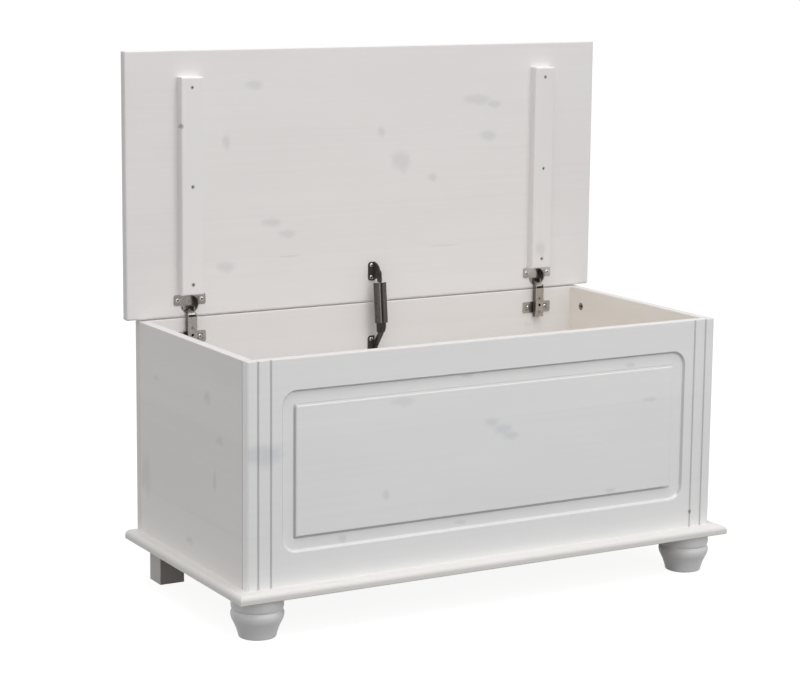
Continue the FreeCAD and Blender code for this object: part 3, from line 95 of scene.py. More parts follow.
camera_data = bpy.data.cameras.new("camera")
camera_data.sensor_width = 36.0
camera_data.lens = LENS
camera_data.shift_x, camera_data.shift_y = SHIFT
camera_data.clip_end = 200.0
camera = bpy.data.objects.new("camera", camera_data)
camera.location = CAMERA_PLACE
camera.rotation_euler = [math.radians(turn) for turn in CAMERA_TURN]
bpy.context.scene.collection.objects.link(camera)
bpy.context.scene.camera = camera
print("camera at", CAMERA_PLACE)

# %% [markdown]
# ## Node trees from Python
#
# A material is a small graph of nodes. A few short helpers keep its script readable: one
# turns a picked colour into a linear one, one adds a node, sets its values and links its
# sockets, three add the sums that come back most often, and two start a node group and
# place it. A group is a graph with named inputs and outputs that several materials can
# share.


# %% Helpers for node trees
def linear(red, green, blue):
    """Linear colour from the 0 to 255 values that a colour picker shows."""
    share = np.array([red, green, blue]) / 255.0
    curve = np.where(share <= 0.04045, share / 12.92, ((share + 0.055) / 1.055) ** 2.4)
    return (*(float(value) for value in curve), 1.0)


def add_node(tree, kind, inputs=None, **settings):
    """A node of one kind; inputs are values or sockets, by socket name or number."""
    node = tree.nodes.new(kind)
    for name, value in settings.items():
        setattr(node, name, value)
    for socket, value in (inputs or {}).items():
        if isinstance(value, bpy.types.NodeSocket):
            tree.links.new(value, node.inputs[socket])
        else:
            node.inputs[socket].default_value = value
    return node


def math_node(tree, operation, first, second=0.0, clamp=False):
    """One sum of two values, each a number or a socket."""
    node = add_node(tree, "ShaderNodeMath", {0: first, 1: second}, operation=operation)
    node.use_clamp = clamp
    return node.outputs[0]


def vector_node(tree, operation, first, second=(0.0, 0.0, 0.0)):
    """One sum of two vectors; it gives a vector, or a number for LENGTH."""
    node = add_node(tree, "ShaderNodeVectorMath", {0: first, 1: second}, operation=operation)
    return node.outputs["Value" if operation == "LENGTH" else "Vector"]


def smooth_range(tree, value, start, end, first=1.0, last=0.0):
    """A value that goes smoothly from first, at start, to last, at end."""
    node = add_node(tree, "ShaderNodeMapRange",
                    {"Value": value, "From Min": start, "From Max": end, "To Min": first,
                     "To Max": last}, interpolation_type="SMOOTHSTEP")
    return node.outputs["Result"]


def new_group(name, inputs, outputs):
    """A shader node group; inputs and outputs are socket types by name."""
    group = bpy.data.node_groups.new(name, "ShaderNodeTree")
    for label, (kind, value) in inputs.items():
        socket = group.interface.new_socket(label, in_out="INPUT", socket_type=kind)
        socket.default_value = value
    for label, kind in outputs.items():
        group.interface.new_socket(label, in_out="OUTPUT", socket_type=kind)
    return group, group.nodes.new("NodeGroupInput"), group.nodes.new("NodeGroupOutput")


def use_group(tree, group, inputs):
    """A group placed in a material, with its own values."""
    return add_node(tree, "ShaderNodeGroup", inputs, node_tree=group)


FLOAT, VECTOR = "NodeSocketFloat", "NodeSocketVector"
print("helpers are ready")

# %% [markdown]
# ## The floor, the backdrop and the light
#
# The chest stands in a white studio. Where the camera looks straight at the floor or the
# backdrop it sees clean white, and the metal mirrors that white too. Everywhere else the
# light behaves as in a real room. Light Path tells the kinds of ray apart. So the lamps can
# stay at a plain level, and the floor still shows the soft shadow under the chest.

# %% Rays that see the studio
def seeing_rays(tree):
    """1 for a ray that comes from the camera, or by way of metal or glass, and 0 for others."""
    path = add_node(tree, "ShaderNodeLightPath")
    mirrored = math_node(tree, "MAXIMUM", path.outputs["Is Glossy Ray"],
                         path.outputs["Is Transmission Ray"])
    return math_node(tree, "MAXIMUM", path.outputs["Is Camera Ray"], mirrored)


print("the studio's rays are sorted")

# %% Floor
FLOOR_REACH = 60.0
FLOOR_COLOUR = linear(128, 127, 126)
FLOOR_LIFT = 0.91
PAPER_WHITE = (1.0, 1.0, 1.0, 1.0)

FLOOR_CORNERS = ((-1, -1), (1, -1), (1, 1), (-1, 1))

floor_mesh = bpy.data.meshes.new("floor")
floor_mesh.from_pydata([(x * FLOOR_REACH, y * FLOOR_REACH, 0.0) for x, y in FLOOR_CORNERS],
                       [], [(0, 1, 2, 3)])
floor = bpy.data.objects.new("floor", floor_mesh)
bpy.context.scene.collection.objects.link(floor)

floor_material = bpy.data.materials.new("white_floor")
floor_material.use_nodes = True
tree = floor_material.node_tree
tree.nodes.clear()
lift = math_node(tree, "MULTIPLY", seeing_rays(tree), FLOOR_LIFT)
paper = add_node(tree, "ShaderNodeBsdfDiffuse", {"Color": FLOOR_COLOUR})
glow = add_node(tree, "ShaderNodeEmission", {"Color": PAPER_WHITE, "Strength": lift})
both = add_node(tree, "ShaderNodeAddShader", {0: paper.outputs[0], 1: glow.outputs[0]})
add_node(tree, "ShaderNodeOutputMaterial", {"Surface": both.outputs[0]})
floor_mesh.materials.append(floor_material)
print("floor:", 2 * FLOOR_REACH, "m wide")

# %% World
AMBIENT = 0.63
AMBIENT_COLOUR = (0.985, 0.99, 1.0, 1.0)

world = bpy.data.worlds.new("white_studio")
bpy.context.scene.world = world
world.use_nodes = True
tree = world.node_tree
tree.nodes.clear()
room = add_node(tree, "ShaderNodeBackground", {"Color": AMBIENT_COLOUR, "Strength": AMBIENT})
paper = add_node(tree, "ShaderNodeBackground", {"Color": PAPER_WHITE, "Strength": 1.0})
choice = add_node(tree, "ShaderNodeMixShader",
                  {0: seeing_rays(tree), 1: room.outputs[0], 2: paper.outputs[0]})
add_node(tree, "ShaderNodeOutputWorld", {"Surface": choice.outputs[0]})
bpy.context.scene.view_settings.view_transform = "Standard"
print("room light:", AMBIENT)


# %% Lamps
def soft_lamp(name, place, aim, width, power, colour=(1.0, 1.0, 1.0)):
    """A square area lamp at a place, turned to face a point."""
    data = bpy.data.lights.new(name, "AREA")
    data.size = width
    data.energy = power
    data.color = colour
    lamp = bpy.data.objects.new(name, data)
    direction = np.array(aim) - np.array(place)
    across = math.hypot(direction[0], direction[1])
    lamp.location = place
    lamp.rotation_euler = (math.atan2(across, -direction[2]), 0.0,
                           math.atan2(direction[1], direction[0]) - math.pi / 2)
    bpy.context.scene.collection.objects.link(lamp)


CHEST_MIDDLE = (0.0, 0.0, 0.4)
LAMP_WIDTH = 3.0
KEY_PLACE, KEY_POWER = (0.9, -4.0, 2.6), 36.0
TOP_PLACE, TOP_POWER, TOP_COLOUR = (-0.2, -1.3, 4.2), 82.0, (1.0, 0.985, 0.965)
soft_lamp("key_lamp", KEY_PLACE, CHEST_MIDDLE, LAMP_WIDTH, KEY_POWER)
soft_lamp("top_lamp", TOP_PLACE, CHEST_MIDDLE, LAMP_WIDTH, TOP_POWER, TOP_COLOUR)
print("lamps are up")

# %% [markdown]
# ## Shared effects
#
# The same few effects come back in many finishes, so each is a node group that is built
# once. The boards are glued up from narrow strips of pine, called staves. Each stave is a
# little lighter or darker than the next, and thin growth lines run along it. Knots and
# resin streaks show through the glaze as soft grey spots.


# %% Group: staves
def build_staves():
    """Strips along X, stacked along Z, with a random tone for each.

    The strip's number is the floor of z over its width, and white noise turns the number
    into a tone."""
    group, given, result = new_group(
        "staves", {"Vector": (VECTOR, (0, 0, 0)), "Width": (FLOAT, 0.08)}, {"Tone": FLOAT})
    axes = add_node(group, "ShaderNodeSeparateXYZ", {0: given.outputs["Vector"]})
    row = math_node(group, "DIVIDE", axes.outputs["Z"], given.outputs["Width"])
    number = math_node(group, "FLOOR", row)
    tone = add_node(group, "ShaderNodeTexWhiteNoise", {"W": number}, noise_dimensions="1D")
    group.links.new(tone.outputs["Value"], result.inputs["Tone"])
    return group


STAVES = build_staves()
print("group:", STAVES.name)


# %% Group: growth lines
LINE_STRETCH, CLOUD_STRETCH = (1.6, 170.0, 170.0), (3.0, 9.0, 9.0)


def build_growth():
    """Long thin growth lines and broad soft clouds, both as values round 0.5.

    The point is stretched before it meets the noise. Noise that is round then becomes a
    hundred times as long as it is wide along X."""
    group, given, result = new_group(
        "growth_lines", {"Vector": (VECTOR, (0, 0, 0)), "Fineness": (FLOAT, 1.0)},
        {"Lines": FLOAT, "Clouds": FLOAT})
    stretched = vector_node(group, "MULTIPLY", given.outputs["Vector"], LINE_STRETCH)
    lines = add_node(group, "ShaderNodeTexNoise",
                     {"Vector": stretched, "Scale": given.outputs["Fineness"],
                      "Detail": 4.0, "Roughness": 0.62})
    broad = vector_node(group, "MULTIPLY", given.outputs["Vector"], CLOUD_STRETCH)
    clouds = add_node(group, "ShaderNodeTexNoise",
                      {"Vector": broad, "Scale": 1.0, "Detail": 3.0})
    group.links.new(lines.outputs["Fac"], result.inputs["Lines"])
    group.links.new(clouds.outputs["Fac"], result.inputs["Clouds"])
    return group


GROWTH = build_growth()
print("group:", GROWTH.name)


# %% Group: knot
KNOT_WAVES = 1.3
KNOT_CORE = 0.25


def build_knot():
    """A soft spot: 1 at its centre and 0 past its reach, with a wavy border.

    The distance from the centre is measured in units of the reach along each axis, noise
    is added to it, and a smooth step turns it into the mask."""
    group, given, result = new_group(
        "knot", {"Vector": (VECTOR, (0, 0, 0)), "Centre": (VECTOR, (0, 0, 0)),
                 "Reach": (VECTOR, (0.02, 0.02, 0.02))}, {"Mask": FLOAT})
    offset = vector_node(group, "SUBTRACT", given.outputs["Vector"], given.outputs["Centre"])
    scaled = vector_node(group, "DIVIDE", offset, given.outputs["Reach"])
    waves = add_node(group, "ShaderNodeTexNoise",
                     {"Vector": scaled, "Scale": KNOT_WAVES, "Detail": 3.0})
    wavy = math_node(group, "ADD", vector_node(group, "LENGTH", scaled),
                     math_node(group, "SUBTRACT", waves.outputs["Fac"], 0.5))
    group.links.new(smooth_range(group, wavy, KNOT_CORE, 1.0), result.inputs["Mask"])
    return group


KNOT = build_knot()
print("group:", KNOT.name)


# %% Group: stroke
def build_stroke():
    """A straight stroke with soft edges: 1 inside a box and 0 past its softness.

    The distance to the box is the largest, over the three axes, of the distance from its
    centre less its half size."""
    group, given, result = new_group(
        "stroke", {"Vector": (VECTOR, (0, 0, 0)), "Centre": (VECTOR, (0, 0, 0)),
                   "Half": (VECTOR, (0.01, 0.01, 0.01)), "Softness": (FLOAT, 0.001)},
        {"Mask": FLOAT})
    offset = vector_node(group, "SUBTRACT", given.outputs["Vector"], given.outputs["Centre"])
    away = vector_node(group, "ABSOLUTE", offset)
    axes = add_node(group, "ShaderNodeSeparateXYZ",
                    {0: vector_node(group, "SUBTRACT", away, given.outputs["Half"])})
    distance = math_node(group, "MAXIMUM", axes.outputs["X"],
                         math_node(group, "MAXIMUM", axes.outputs["Y"], axes.outputs["Z"]))
    mask = smooth_range(group, distance, 0.0, given.outputs["Softness"])
    group.links.new(mask, result.inputs["Mask"])
    return group


STROKE = build_stroke()
print("group:", STROKE.name)


# %% Group: frame line of painted shade
FLAT = (1.0, 0.0, 1.0)
SIDE_FADE = 0.06


def build_frame_shade_line():
    """A line of painted shade round a rectangle in the XZ plane, on two of its four sides.

    The signed distance to a rounded rectangle is the length of the part of q past 0, plus
    its largest part below 0, less the corner radius; q is the distance from the middle
    less the half size without the corner. Side is 1 for the right and upper sides and -1
    for the left and lower ones. The line reaches as deep into the board as Depth."""
    group, given, result = new_group(
        "frame_shade_line", {"Vector": (VECTOR, (0, 0, 0)), "Centre": (VECTOR, (0, 0, 0)),
                       "Half": (VECTOR, (0.1, 0.0, 0.1)), "Corner": (FLOAT, 0.02),
                       "Offset": (FLOAT, 0.0), "Width": (FLOAT, 0.001),
                       "Softness": (FLOAT, 0.001), "Side": (FLOAT, 1.0),
                       "Depth": (FLOAT, 0.01)}, {"Mask": FLOAT})
    offset = vector_node(group, "SUBTRACT", given.outputs["Vector"], given.outputs["Centre"])
    depths = add_node(group, "ShaderNodeSeparateXYZ", {0: offset})
    near = math_node(group, "LESS_THAN", math_node(group, "ABSOLUTE", depths.outputs["Y"]),
                     given.outputs["Depth"])
    flat = vector_node(group, "MULTIPLY", offset, FLAT)
    away = vector_node(group, "ABSOLUTE", flat)
    axes = add_node(group, "ShaderNodeSeparateXYZ",
                    {0: vector_node(group, "SUBTRACT", away, given.outputs["Half"])})
    q_x, q_z = (math_node(group, "ADD", axes.outputs[axis], given.outputs["Corner"])
                for axis in "XZ")
    squares = [math_node(group, "POWER", math_node(group, "MAXIMUM", part, 0.0), 2.0)
               for part in (q_x, q_z)]
    outside = math_node(group, "SQRT", math_node(group, "ADD", *squares))
    inside = math_node(group, "MINIMUM", math_node(group, "MAXIMUM", q_x, q_z), 0.0)
    distance = math_node(group, "SUBTRACT", math_node(group, "ADD", outside, inside),
                         given.outputs["Corner"])
    off_line = math_node(group, "ABSOLUTE",
                         math_node(group, "SUBTRACT", distance, given.outputs["Offset"]))
    soft = math_node(group, "DIVIDE",
                     math_node(group, "SUBTRACT", off_line, given.outputs["Width"]),
                     given.outputs["Softness"])
    line = smooth_range(group, soft, 0.0, 1.0)
    parts = add_node(group, "ShaderNodeSeparateXYZ",
                     {0: vector_node(group, "DIVIDE", flat, given.outputs["Half"])})
    leaning = math_node(group, "MULTIPLY",
                        math_node(group, "ADD", parts.outputs["X"], parts.outputs["Z"]),
                        given.outputs["Side"])
    chosen = smooth_range(group, leaning, 0.0, SIDE_FADE, 0.0, 1.0)
    mask = math_node(group, "MULTIPLY", math_node(group, "MULTIPLY", line, chosen), near)
    group.links.new(mask, result.inputs["Mask"])
    return group


FRAME_SHADE_LINE = build_frame_shade_line()
print("group:", FRAME_SHADE_LINE.name)


# %% Group: metal grain
def build_metal_grain():
    """Fine cloudy wear and a little grain for pressed metal, as values round 0.5."""
    group, given, result = new_group(
        "metal_grain", {"Vector": (VECTOR, (0, 0, 0)), "Scale": (FLOAT, 400.0)},
        {"Wear": FLOAT, "Grain": FLOAT})
    wear = add_node(group, "ShaderNodeTexNoise",
                    {"Vector": given.outputs["Vector"], "Scale": 90.0, "Detail": 5.0})
    grain = add_node(group, "ShaderNodeTexNoise",
                     {"Vector": given.outputs["Vector"], "Scale": given.outputs["Scale"],
                      "Detail": 2.0})
    group.links.new(wear.outputs["Fac"], result.inputs["Wear"])
    group.links.new(grain.outputs["Fac"], result.inputs["Grain"])
    return group


METAL_GRAIN = build_metal_grain()
print("group:", METAL_GRAIN.name)


# %% [markdown]
# ## White-glazed pine
#
# The glaze is a thin coat of white stain, rubbed on and sealed satin. It hides most of the
# wood, so the board is nearly white, with growth lines, staves and knots a few tones
# darker. The pattern is worked out from the object's own coordinates in metres. A Mapping
# node turns them so that X runs along the grain of each board, and so one recipe serves
# boards that lie, stand or run from front to back.


# %% Glazed pine
# Grey for painted shade in the grooves, along the joint and in the frame lines.
GROOVE_SHADE = linear(120, 118, 114)
KNOT_GREY = linear(186, 188, 190)
CLOUD_SHARE, LINE_SHARE, CLEAR_SHARE = 0.55, 0.40, 0.25
GLAZE_ROUGHNESS = (0.40, 0.55)
GRAIN_STRENGTH, GRAIN_HEIGHT = 0.10, 0.0004
GRAIN_TURN = {"x": (0.0, 0.0, 0.0), "y": (0.0, 0.0, math.radians(-90)),
              "z": (0.0, math.radians(90), 0.0)}


def surface(name):
    """A new material with its tree, its object coordinates and its plain shader."""
    material = bpy.data.materials.new(name)
    material.use_nodes = True
    tree = material.node_tree
    shader = tree.nodes["Principled BSDF"]
    place = add_node(tree, "ShaderNodeTexCoord").outputs["Object"]
    return material, tree, shader, place


def mix_colour(tree, share, first, second):
    """Colour between two others; each is a colour or a socket."""
    node = add_node(tree, "ShaderNodeMix", {0: share, 6: first, 7: second}, data_type="RGBA")
    return node.outputs[2]


def knots_mask(tree, place, knots):
    """The strongest of several knots at each point."""
    strongest = None
    for centre, reach in knots:
        spot = use_group(tree, KNOT, {"Vector": place, "Centre": centre, "Reach": reach})
        mask = spot.outputs["Mask"]
        strongest = mask if strongest is None else math_node(tree, "MAXIMUM", strongest, mask)
    return strongest


def painted(tree, place, colour, strokes):
    """A colour with strokes over it, each as centre, half size, softness, tone, amount.
    Most strokes here are painted shade or painted light; the bare underside is a real mark.
    """
    for centre, half, softness, tone, amount in strokes:
        line = use_group(tree, STROKE, {"Vector": place, "Centre": centre, "Half": half,
                                        "Softness": softness})
        share = math_node(tree, "MULTIPLY", line.outputs["Mask"], amount)
        colour = mix_colour(tree, share, colour, tone)
    return colour


def glazed_pine(name, along, white, grain_tone, knots=(), smears=(), stave=0.085,
                knot_colour=KNOT_GREY, strength=0.34, strokes=(), frames=(),
                stave_share=0.30):
    """White glaze over pine: along names the axis of the grain.

    Staves, clouds and growth lines add up to a depth, which mixes white with the darker
    grain tone. Knots, smears, strokes and frame lines are laid over that in turn; the frame
    lines and most strokes are painted shade or painted light."""
    material, tree, shader, place = surface(name)
    turned = add_node(tree, "ShaderNodeMapping",
                      {"Vector": place, "Rotation": GRAIN_TURN[along]})
    staves = use_group(tree, STAVES, {"Vector": turned.outputs[0], "Width": stave})
    growth = use_group(tree, GROWTH, {"Vector": turned.outputs[0], "Fineness": 1.0})
    tone = math_node(tree, "MULTIPLY", staves.outputs["Tone"], stave_share)
    clouds = math_node(tree, "MULTIPLY", growth.outputs["Clouds"], CLOUD_SHARE)
    lines = math_node(tree, "MULTIPLY", growth.outputs["Lines"], LINE_SHARE)
    depth = math_node(tree, "ADD", math_node(tree, "ADD", tone, clouds), lines)
    depth = math_node(tree, "SUBTRACT", depth, CLEAR_SHARE, clamp=True)
    colour = mix_colour(tree, depth, white, grain_tone)
    if knots:
        share = math_node(tree, "MULTIPLY", knots_mask(tree, place, knots), strength)
        colour = mix_colour(tree, share, colour, knot_colour)
    for centre, reach, stain, amount in smears:
        share = math_node(tree, "MULTIPLY", knots_mask(tree, place, [(centre, reach)]), amount)
        colour = mix_colour(tree, share, colour, stain)
    colour = painted(tree, place, colour, strokes)
    for amount, values in frames:
        line = use_group(tree, FRAME_SHADE_LINE, {"Vector": place, **values})
        share = math_node(tree, "MULTIPLY", line.outputs["Mask"], amount)
        colour = mix_colour(tree, share, colour, GROOVE_SHADE)
    tree.links.new(colour, shader.inputs["Base Color"])
    rough = add_node(tree, "ShaderNodeMapRange",
                     {"Value": growth.outputs["Lines"], "To Min": GLAZE_ROUGHNESS[0],
                      "To Max": GLAZE_ROUGHNESS[1]})
    tree.links.new(rough.outputs["Result"], shader.inputs["Roughness"])
    bump = add_node(tree, "ShaderNodeBump",
                    {"Height": growth.outputs["Lines"], "Strength": GRAIN_STRENGTH,
                     "Distance": GRAIN_HEIGHT})
    tree.links.new(bump.outputs["Normal"], shader.inputs["Normal"])
    return material


def finish_node(node, material):
    """Give a CAD node one material in place of its own."""
    mesh = NODES[node].data
    mesh.materials.clear()
    mesh.materials.append(material)


print("glazed pine recipe is ready")

# %% [markdown]
# ## The lid
#
# The lid is one wide board with two battens screwed across its inside, which keep it flat.
# It was glued up from knotty strips, so it has more knots than the rest. A knot goes right
# through the board: its spot is deeper than the board is thick, and shows on both faces.

# %% Knots on flat faces
KNOT_DEPTH = 0.03


def knots_across_y(y, spots):
    """Knots on a face across Y, each from x, z and its reaches along x and z."""
    return [((x, y, z), (wide, KNOT_DEPTH, tall)) for x, z, wide, tall in spots]


def knots_across_x(x, spots):
    """Knots on a face across X, each from y, z and its reaches along y and z."""
    return [((x, y, z), (KNOT_DEPTH, wide, tall)) for y, z, wide, tall in spots]


print("knots are", KNOT_DEPTH, "m deep")

# %% Lid board
LID_WHITE = linear(239, 237, 236)
LID_SHADE = linear(227, 223, 222)
LID_STAVE = 0.0966
LID_KNOTS = knots_across_y(LID_Y, [
    (0.066, 0.747, 0.030, 0.030), (-0.247, 0.901, 0.024, 0.013),
    (-0.304, 0.797, 0.011, 0.022), (-0.211, 0.645, 0.030, 0.012),
    (-0.178, 0.622, 0.026, 0.012), (0.236, 0.860, 0.042, 0.015),
    (0.274, 0.850, 0.022, 0.011), (0.022, 0.805, 0.012, 0.014),
    (0.262, 0.789, 0.026, 0.016), (-0.306, 0.567, 0.026, 0.016),
    (-0.173, 0.5795, 0.030, 0.0028), (0.165, 0.5795, 0.048, 0.0022),
    (0.136, 0.714, 0.014, 0.012)])
finish_node("lid_board", glazed_pine("lid_glaze", "x", LID_WHITE, LID_SHADE, LID_KNOTS,
                                     stave=LID_STAVE, strength=0.26, stave_share=0.2))
print("lid:", len(LID_KNOTS), "knots")

# %% Battens
DARK_KNOT = linear(120, 112, 104)
SMALL_KNOT = [((*low("batten_left")[:2], 0.832), (0.006, 0.02, 0.007))]
PALE_KNOT = [((0.377, low("batten_right")[1], 0.560), (0.016, 0.02, 0.024))]
finish_node("batten_left", glazed_pine("batten_left_glaze", "z", LID_WHITE, LID_SHADE,
                                       SMALL_KNOT, knot_colour=DARK_KNOT, strength=0.6))
finish_node("batten_right", glazed_pine("batten_right_glaze", "z", LID_WHITE, LID_SHADE,
                                        PALE_KNOT, strength=0.26))
print("battens are glazed")

# %% [markdown]
# ## The front panel
#
# A router has cut a flat band into the board round a raised field, and two V grooves up
# each end. Strokes and frame lines paint shade along the cuts, a thin grey line soft at its
# edges: in the grooves, round the band's outer edge, strongest at its right and top, and
# along the field's left and low edges, where those faces turn from the light. They stop
# inside the board, so that its inner face stays plain. More painted shade dims the top rim
# and the bright top edge of the field, and a painted highlight lightens each end.

# %% Front panel
COOL_WHITE = linear(245, 245, 245)
COOL_SHADE = linear(231, 231, 232)
BLUE_GREY = linear(176, 186, 196)
HOLE_TONE = linear(70, 64, 60)
FRONT_KNOTS = knots_across_y(FRONT_Y, [
    (-0.002, 0.331, 0.020, 0.012), (0.022, 0.315, 0.026, 0.016),
    (0.038, 0.303, 0.024, 0.012), (-0.215, 0.224, 0.010, 0.014),
    (-0.298, 0.1555, 0.012, 0.012), (0.338, 0.3397, 0.022, 0.006),
    (-0.052, 0.418, 0.020, 0.006), (0.295, 0.406, 0.016, 0.008),
    (-0.062, 0.156, 0.018, 0.007), (0.255, 0.1785, 0.018, 0.007)])
FRONT_SMEARS = [
    ((-0.455, FRONT_Y, 0.318), (0.060, KNOT_DEPTH, 0.028), BLUE_GREY, 0.30),
    ((-0.183, FRONT_Y, 0.385), (0.034, KNOT_DEPTH, 0.012), BLUE_GREY, 0.18),
    ((0.436, FRONT_Y, 0.1175), (0.005, KNOT_DEPTH, 0.006), HOLE_TONE, 0.65),
]
print("front:", len(FRONT_KNOTS), "knots")

# %% Grooves, edges and frame
SIDE_INSET, LOW_INSET, HIGH_INSET = 0.068, 0.060, 0.058
FRAME_SIDE = SIDE_X - SIDE_INSET
FRAME_LOW, FRAME_HIGH = low("front_panel")[2] + LOW_INSET, RIM_Z - HIGH_INSET
BAND = 0.022
FRAME_MIDDLE, FRAME_HALF = (FRAME_LOW + FRAME_HIGH) / 2, (FRAME_HIGH - FRAME_LOW) / 2
FACE_DEPTH = 0.009
WHOLE = 1.0
GROOVE_INSETS = (0.020, 0.044)
# Tones for painted shade on the top rims and the field's top edge, and for a painted highlight
# on the ends.
RIM_SHADE, END_HIGHLIGHT = linear(222, 220, 218), linear(255, 255, 255)
FIELD_TOP_SHADE = linear(208, 208, 206)

# Painted shade in the V grooves.
SHADED_GROOVES = [((side * (SIDE_X - inset), FRONT_Y, FRAME_MIDDLE), (0.0012, FACE_DEPTH, WHOLE),
            0.0014, GROOVE_SHADE, 0.36) for side in (-1, 1) for inset in GROOVE_INSETS]
# A painted highlight down each end of the panel.
LIT_ENDS = [((side * SIDE_X, 0.0, 0.0), (0.0010, WHOLE, WHOLE), 0.0006, END_HIGHLIGHT, 0.9)
        for side in (-1, 1)]
# Painted shade along the top rim; the side panels take it too.
SHADED_RIM = ((0.0, 0.0, RIM_Z), (WHOLE, WHOLE, 0.0006), 0.0008, RIM_SHADE, 1.0)
FIELD_HALF = (FRAME_SIDE - BAND, WHOLE, FRAME_HALF - BAND)
# Painted shade that dims the bright top edge of the field.
SHADED_FIELD_TOP = ((0.0, FRONT_Y, FRAME_MIDDLE + FIELD_HALF[2] - 0.0008),
             (FIELD_HALF[0], FACE_DEPTH, 0.0014), 0.0010, FIELD_TOP_SHADE, 0.95)
OUTER_FRAME = {"Centre": (0.0, FRONT_Y, FRAME_MIDDLE), "Half": (FRAME_SIDE, WHOLE, FRAME_HALF),
               "Corner": 0.024, "Offset": 0.0018, "Width": 0.0012, "Softness": 0.0010}
FIELD_FRAME = {"Centre": (0.0, FRONT_Y, FRAME_MIDDLE), "Half": FIELD_HALF, "Corner": 0.0005,
               "Offset": 0.0004, "Width": 0.0015, "Softness": 0.0012}
RIGHT_AND_TOP, LEFT_AND_LOW = 1.0, -1.0
# Painted shade round the band's outer edge, strongest at its right and top, and along the
# field's left and low edges.
FRONT_FRAME_SHADES = [(0.42, {**OUTER_FRAME, "Side": RIGHT_AND_TOP}),
                (0.14, {**OUTER_FRAME, "Side": LEFT_AND_LOW}),
                (0.52, {**FIELD_FRAME, "Side": LEFT_AND_LOW})]
finish_node("front_panel", glazed_pine("front_glaze", "x", COOL_WHITE, COOL_SHADE,
                                       FRONT_KNOTS, FRONT_SMEARS,
                                       strokes=[*SHADED_GROOVES, *LIT_ENDS, SHADED_FIELD_TOP, SHADED_RIM],
                                       frames=FRONT_FRAME_SHADES, knot_colour=BLUE_GREY,
                                       strength=0.24, stave_share=0.16))
print("front:", len(SHADED_GROOVES), "grooves,", len(FRONT_FRAME_SHADES), "frame lines")

# %% [markdown]
# ## The other boards
#
# The side panels have their grain from front to back, and the back panel and the base
# board have it from left to right. Each board has its own white and grain tone. The right
# panel's white is warmer, as painted light for the warm light bouncing inside the box, and
# the rear feet are darker, as painted shade under the chest, their front faces most. A
# stroke of painted shade runs down the joint of the left panel and the front, and the top
# rims get painted shade too. Most of the base board's underside was left bare.

# %% Side and back panels
LEFT_GLAZE = linear(245, 242, 240), linear(233, 229, 227)
# The right panel's white is warmer: painted light for the warm light bouncing inside the box.
RIGHT_GLAZE_AND_BOUNCE = linear(246, 240, 232), linear(236, 228, 219)
BACK_GLAZE = linear(235, 232, 230), linear(226, 222, 219)
LEFT_X, RIGHT_X = low("side_panel_left")[0], high("side_panel_right")[0]
LEFT_KNOTS = knots_across_x(LEFT_X, [
    (0.153, 0.388, 0.014, 0.006), (-0.062, 0.391, 0.020, 0.016),
    (-0.111, 0.324, 0.020, 0.010), (0.200, 0.200, 0.030, 0.050),
    (-0.091, 0.250, 0.010, 0.026), (0.013, 0.121, 0.022, 0.010)])
RIGHT_KNOTS = knots_across_x(RIGHT_X, [
    (0.050, 0.400, 0.018, 0.012), (-0.120, 0.230, 0.022, 0.010),
    (0.140, 0.180, 0.012, 0.020)])
BACK_KNOTS = knots_across_y(high("back_panel")[1], [
    (-0.260, 0.340, 0.030, 0.016), (0.180, 0.220, 0.022, 0.012),
    (0.360, 0.410, 0.016, 0.010)])
# Painted shade down the joint of the left panel and the front panel.
LEFT_JOINT_SHADE = ((LEFT_X, low("side_panel_left")[1], 0.0), (0.001, 0.0014, WHOLE), 0.0010,
              GROOVE_SHADE, 0.6)
finish_node("side_panel_left", glazed_pine("left_glaze", "y", *LEFT_GLAZE, LEFT_KNOTS,
                                           strength=0.24, strokes=[LEFT_JOINT_SHADE, SHADED_RIM]))
finish_node("side_panel_right", glazed_pine("right_glaze", "y", *RIGHT_GLAZE_AND_BOUNCE, RIGHT_KNOTS,
                                            strokes=[SHADED_RIM]))
finish_node("back_panel", glazed_pine("back_glaze", "x", *BACK_GLAZE, BACK_KNOTS))
print("panels are glazed")

# %% Base board and rear feet
BASE_GLAZE = linear(234, 232, 229), linear(222, 219, 215)
# The rear feet's glaze is darker than the base's, and their front faces darker still: painted
# shade under the chest. The underside's tone is bare wood.
REAR_SHADED_GLAZE = linear(208, 203, 202), linear(190, 186, 184)
BARE_TONE, FOOT_FRONT_SHADE = linear(128, 108, 88), linear(138, 130, 127)
UNDERSIDE = ((0.0, 0.0, low("base_board")[2]), (0.490, 0.228, 0.001), 0.001, BARE_TONE, 0.9)
finish_node("base_board", glazed_pine("base_glaze", "x", *BASE_GLAZE, stave=0.11,
                                      strokes=[UNDERSIDE]))
for rear in ("foot_rear_left", "foot_rear_right"):
    shaded_front = ((0.0, low(rear)[1], 0.0), (WHOLE, 0.0006, WHOLE), 0.0006,
                  FOOT_FRONT_SHADE, 0.7)
    finish_node(rear, glazed_pine(rear + "_glaze", "z", *REAR_SHADED_GLAZE, strokes=[shaded_front]))
print("base and rear feet are glazed")


# %% [markdown]
# ## Surfaces by formula
#
# A turned piece is one profile carried round an axis. The profile is a run of points, and
# each corner is rounded by a short curve. The whole surface is one array of points: every
# profile point at every angle. Blender takes the array in one call, which is much quicker
# than a loop over vertices.


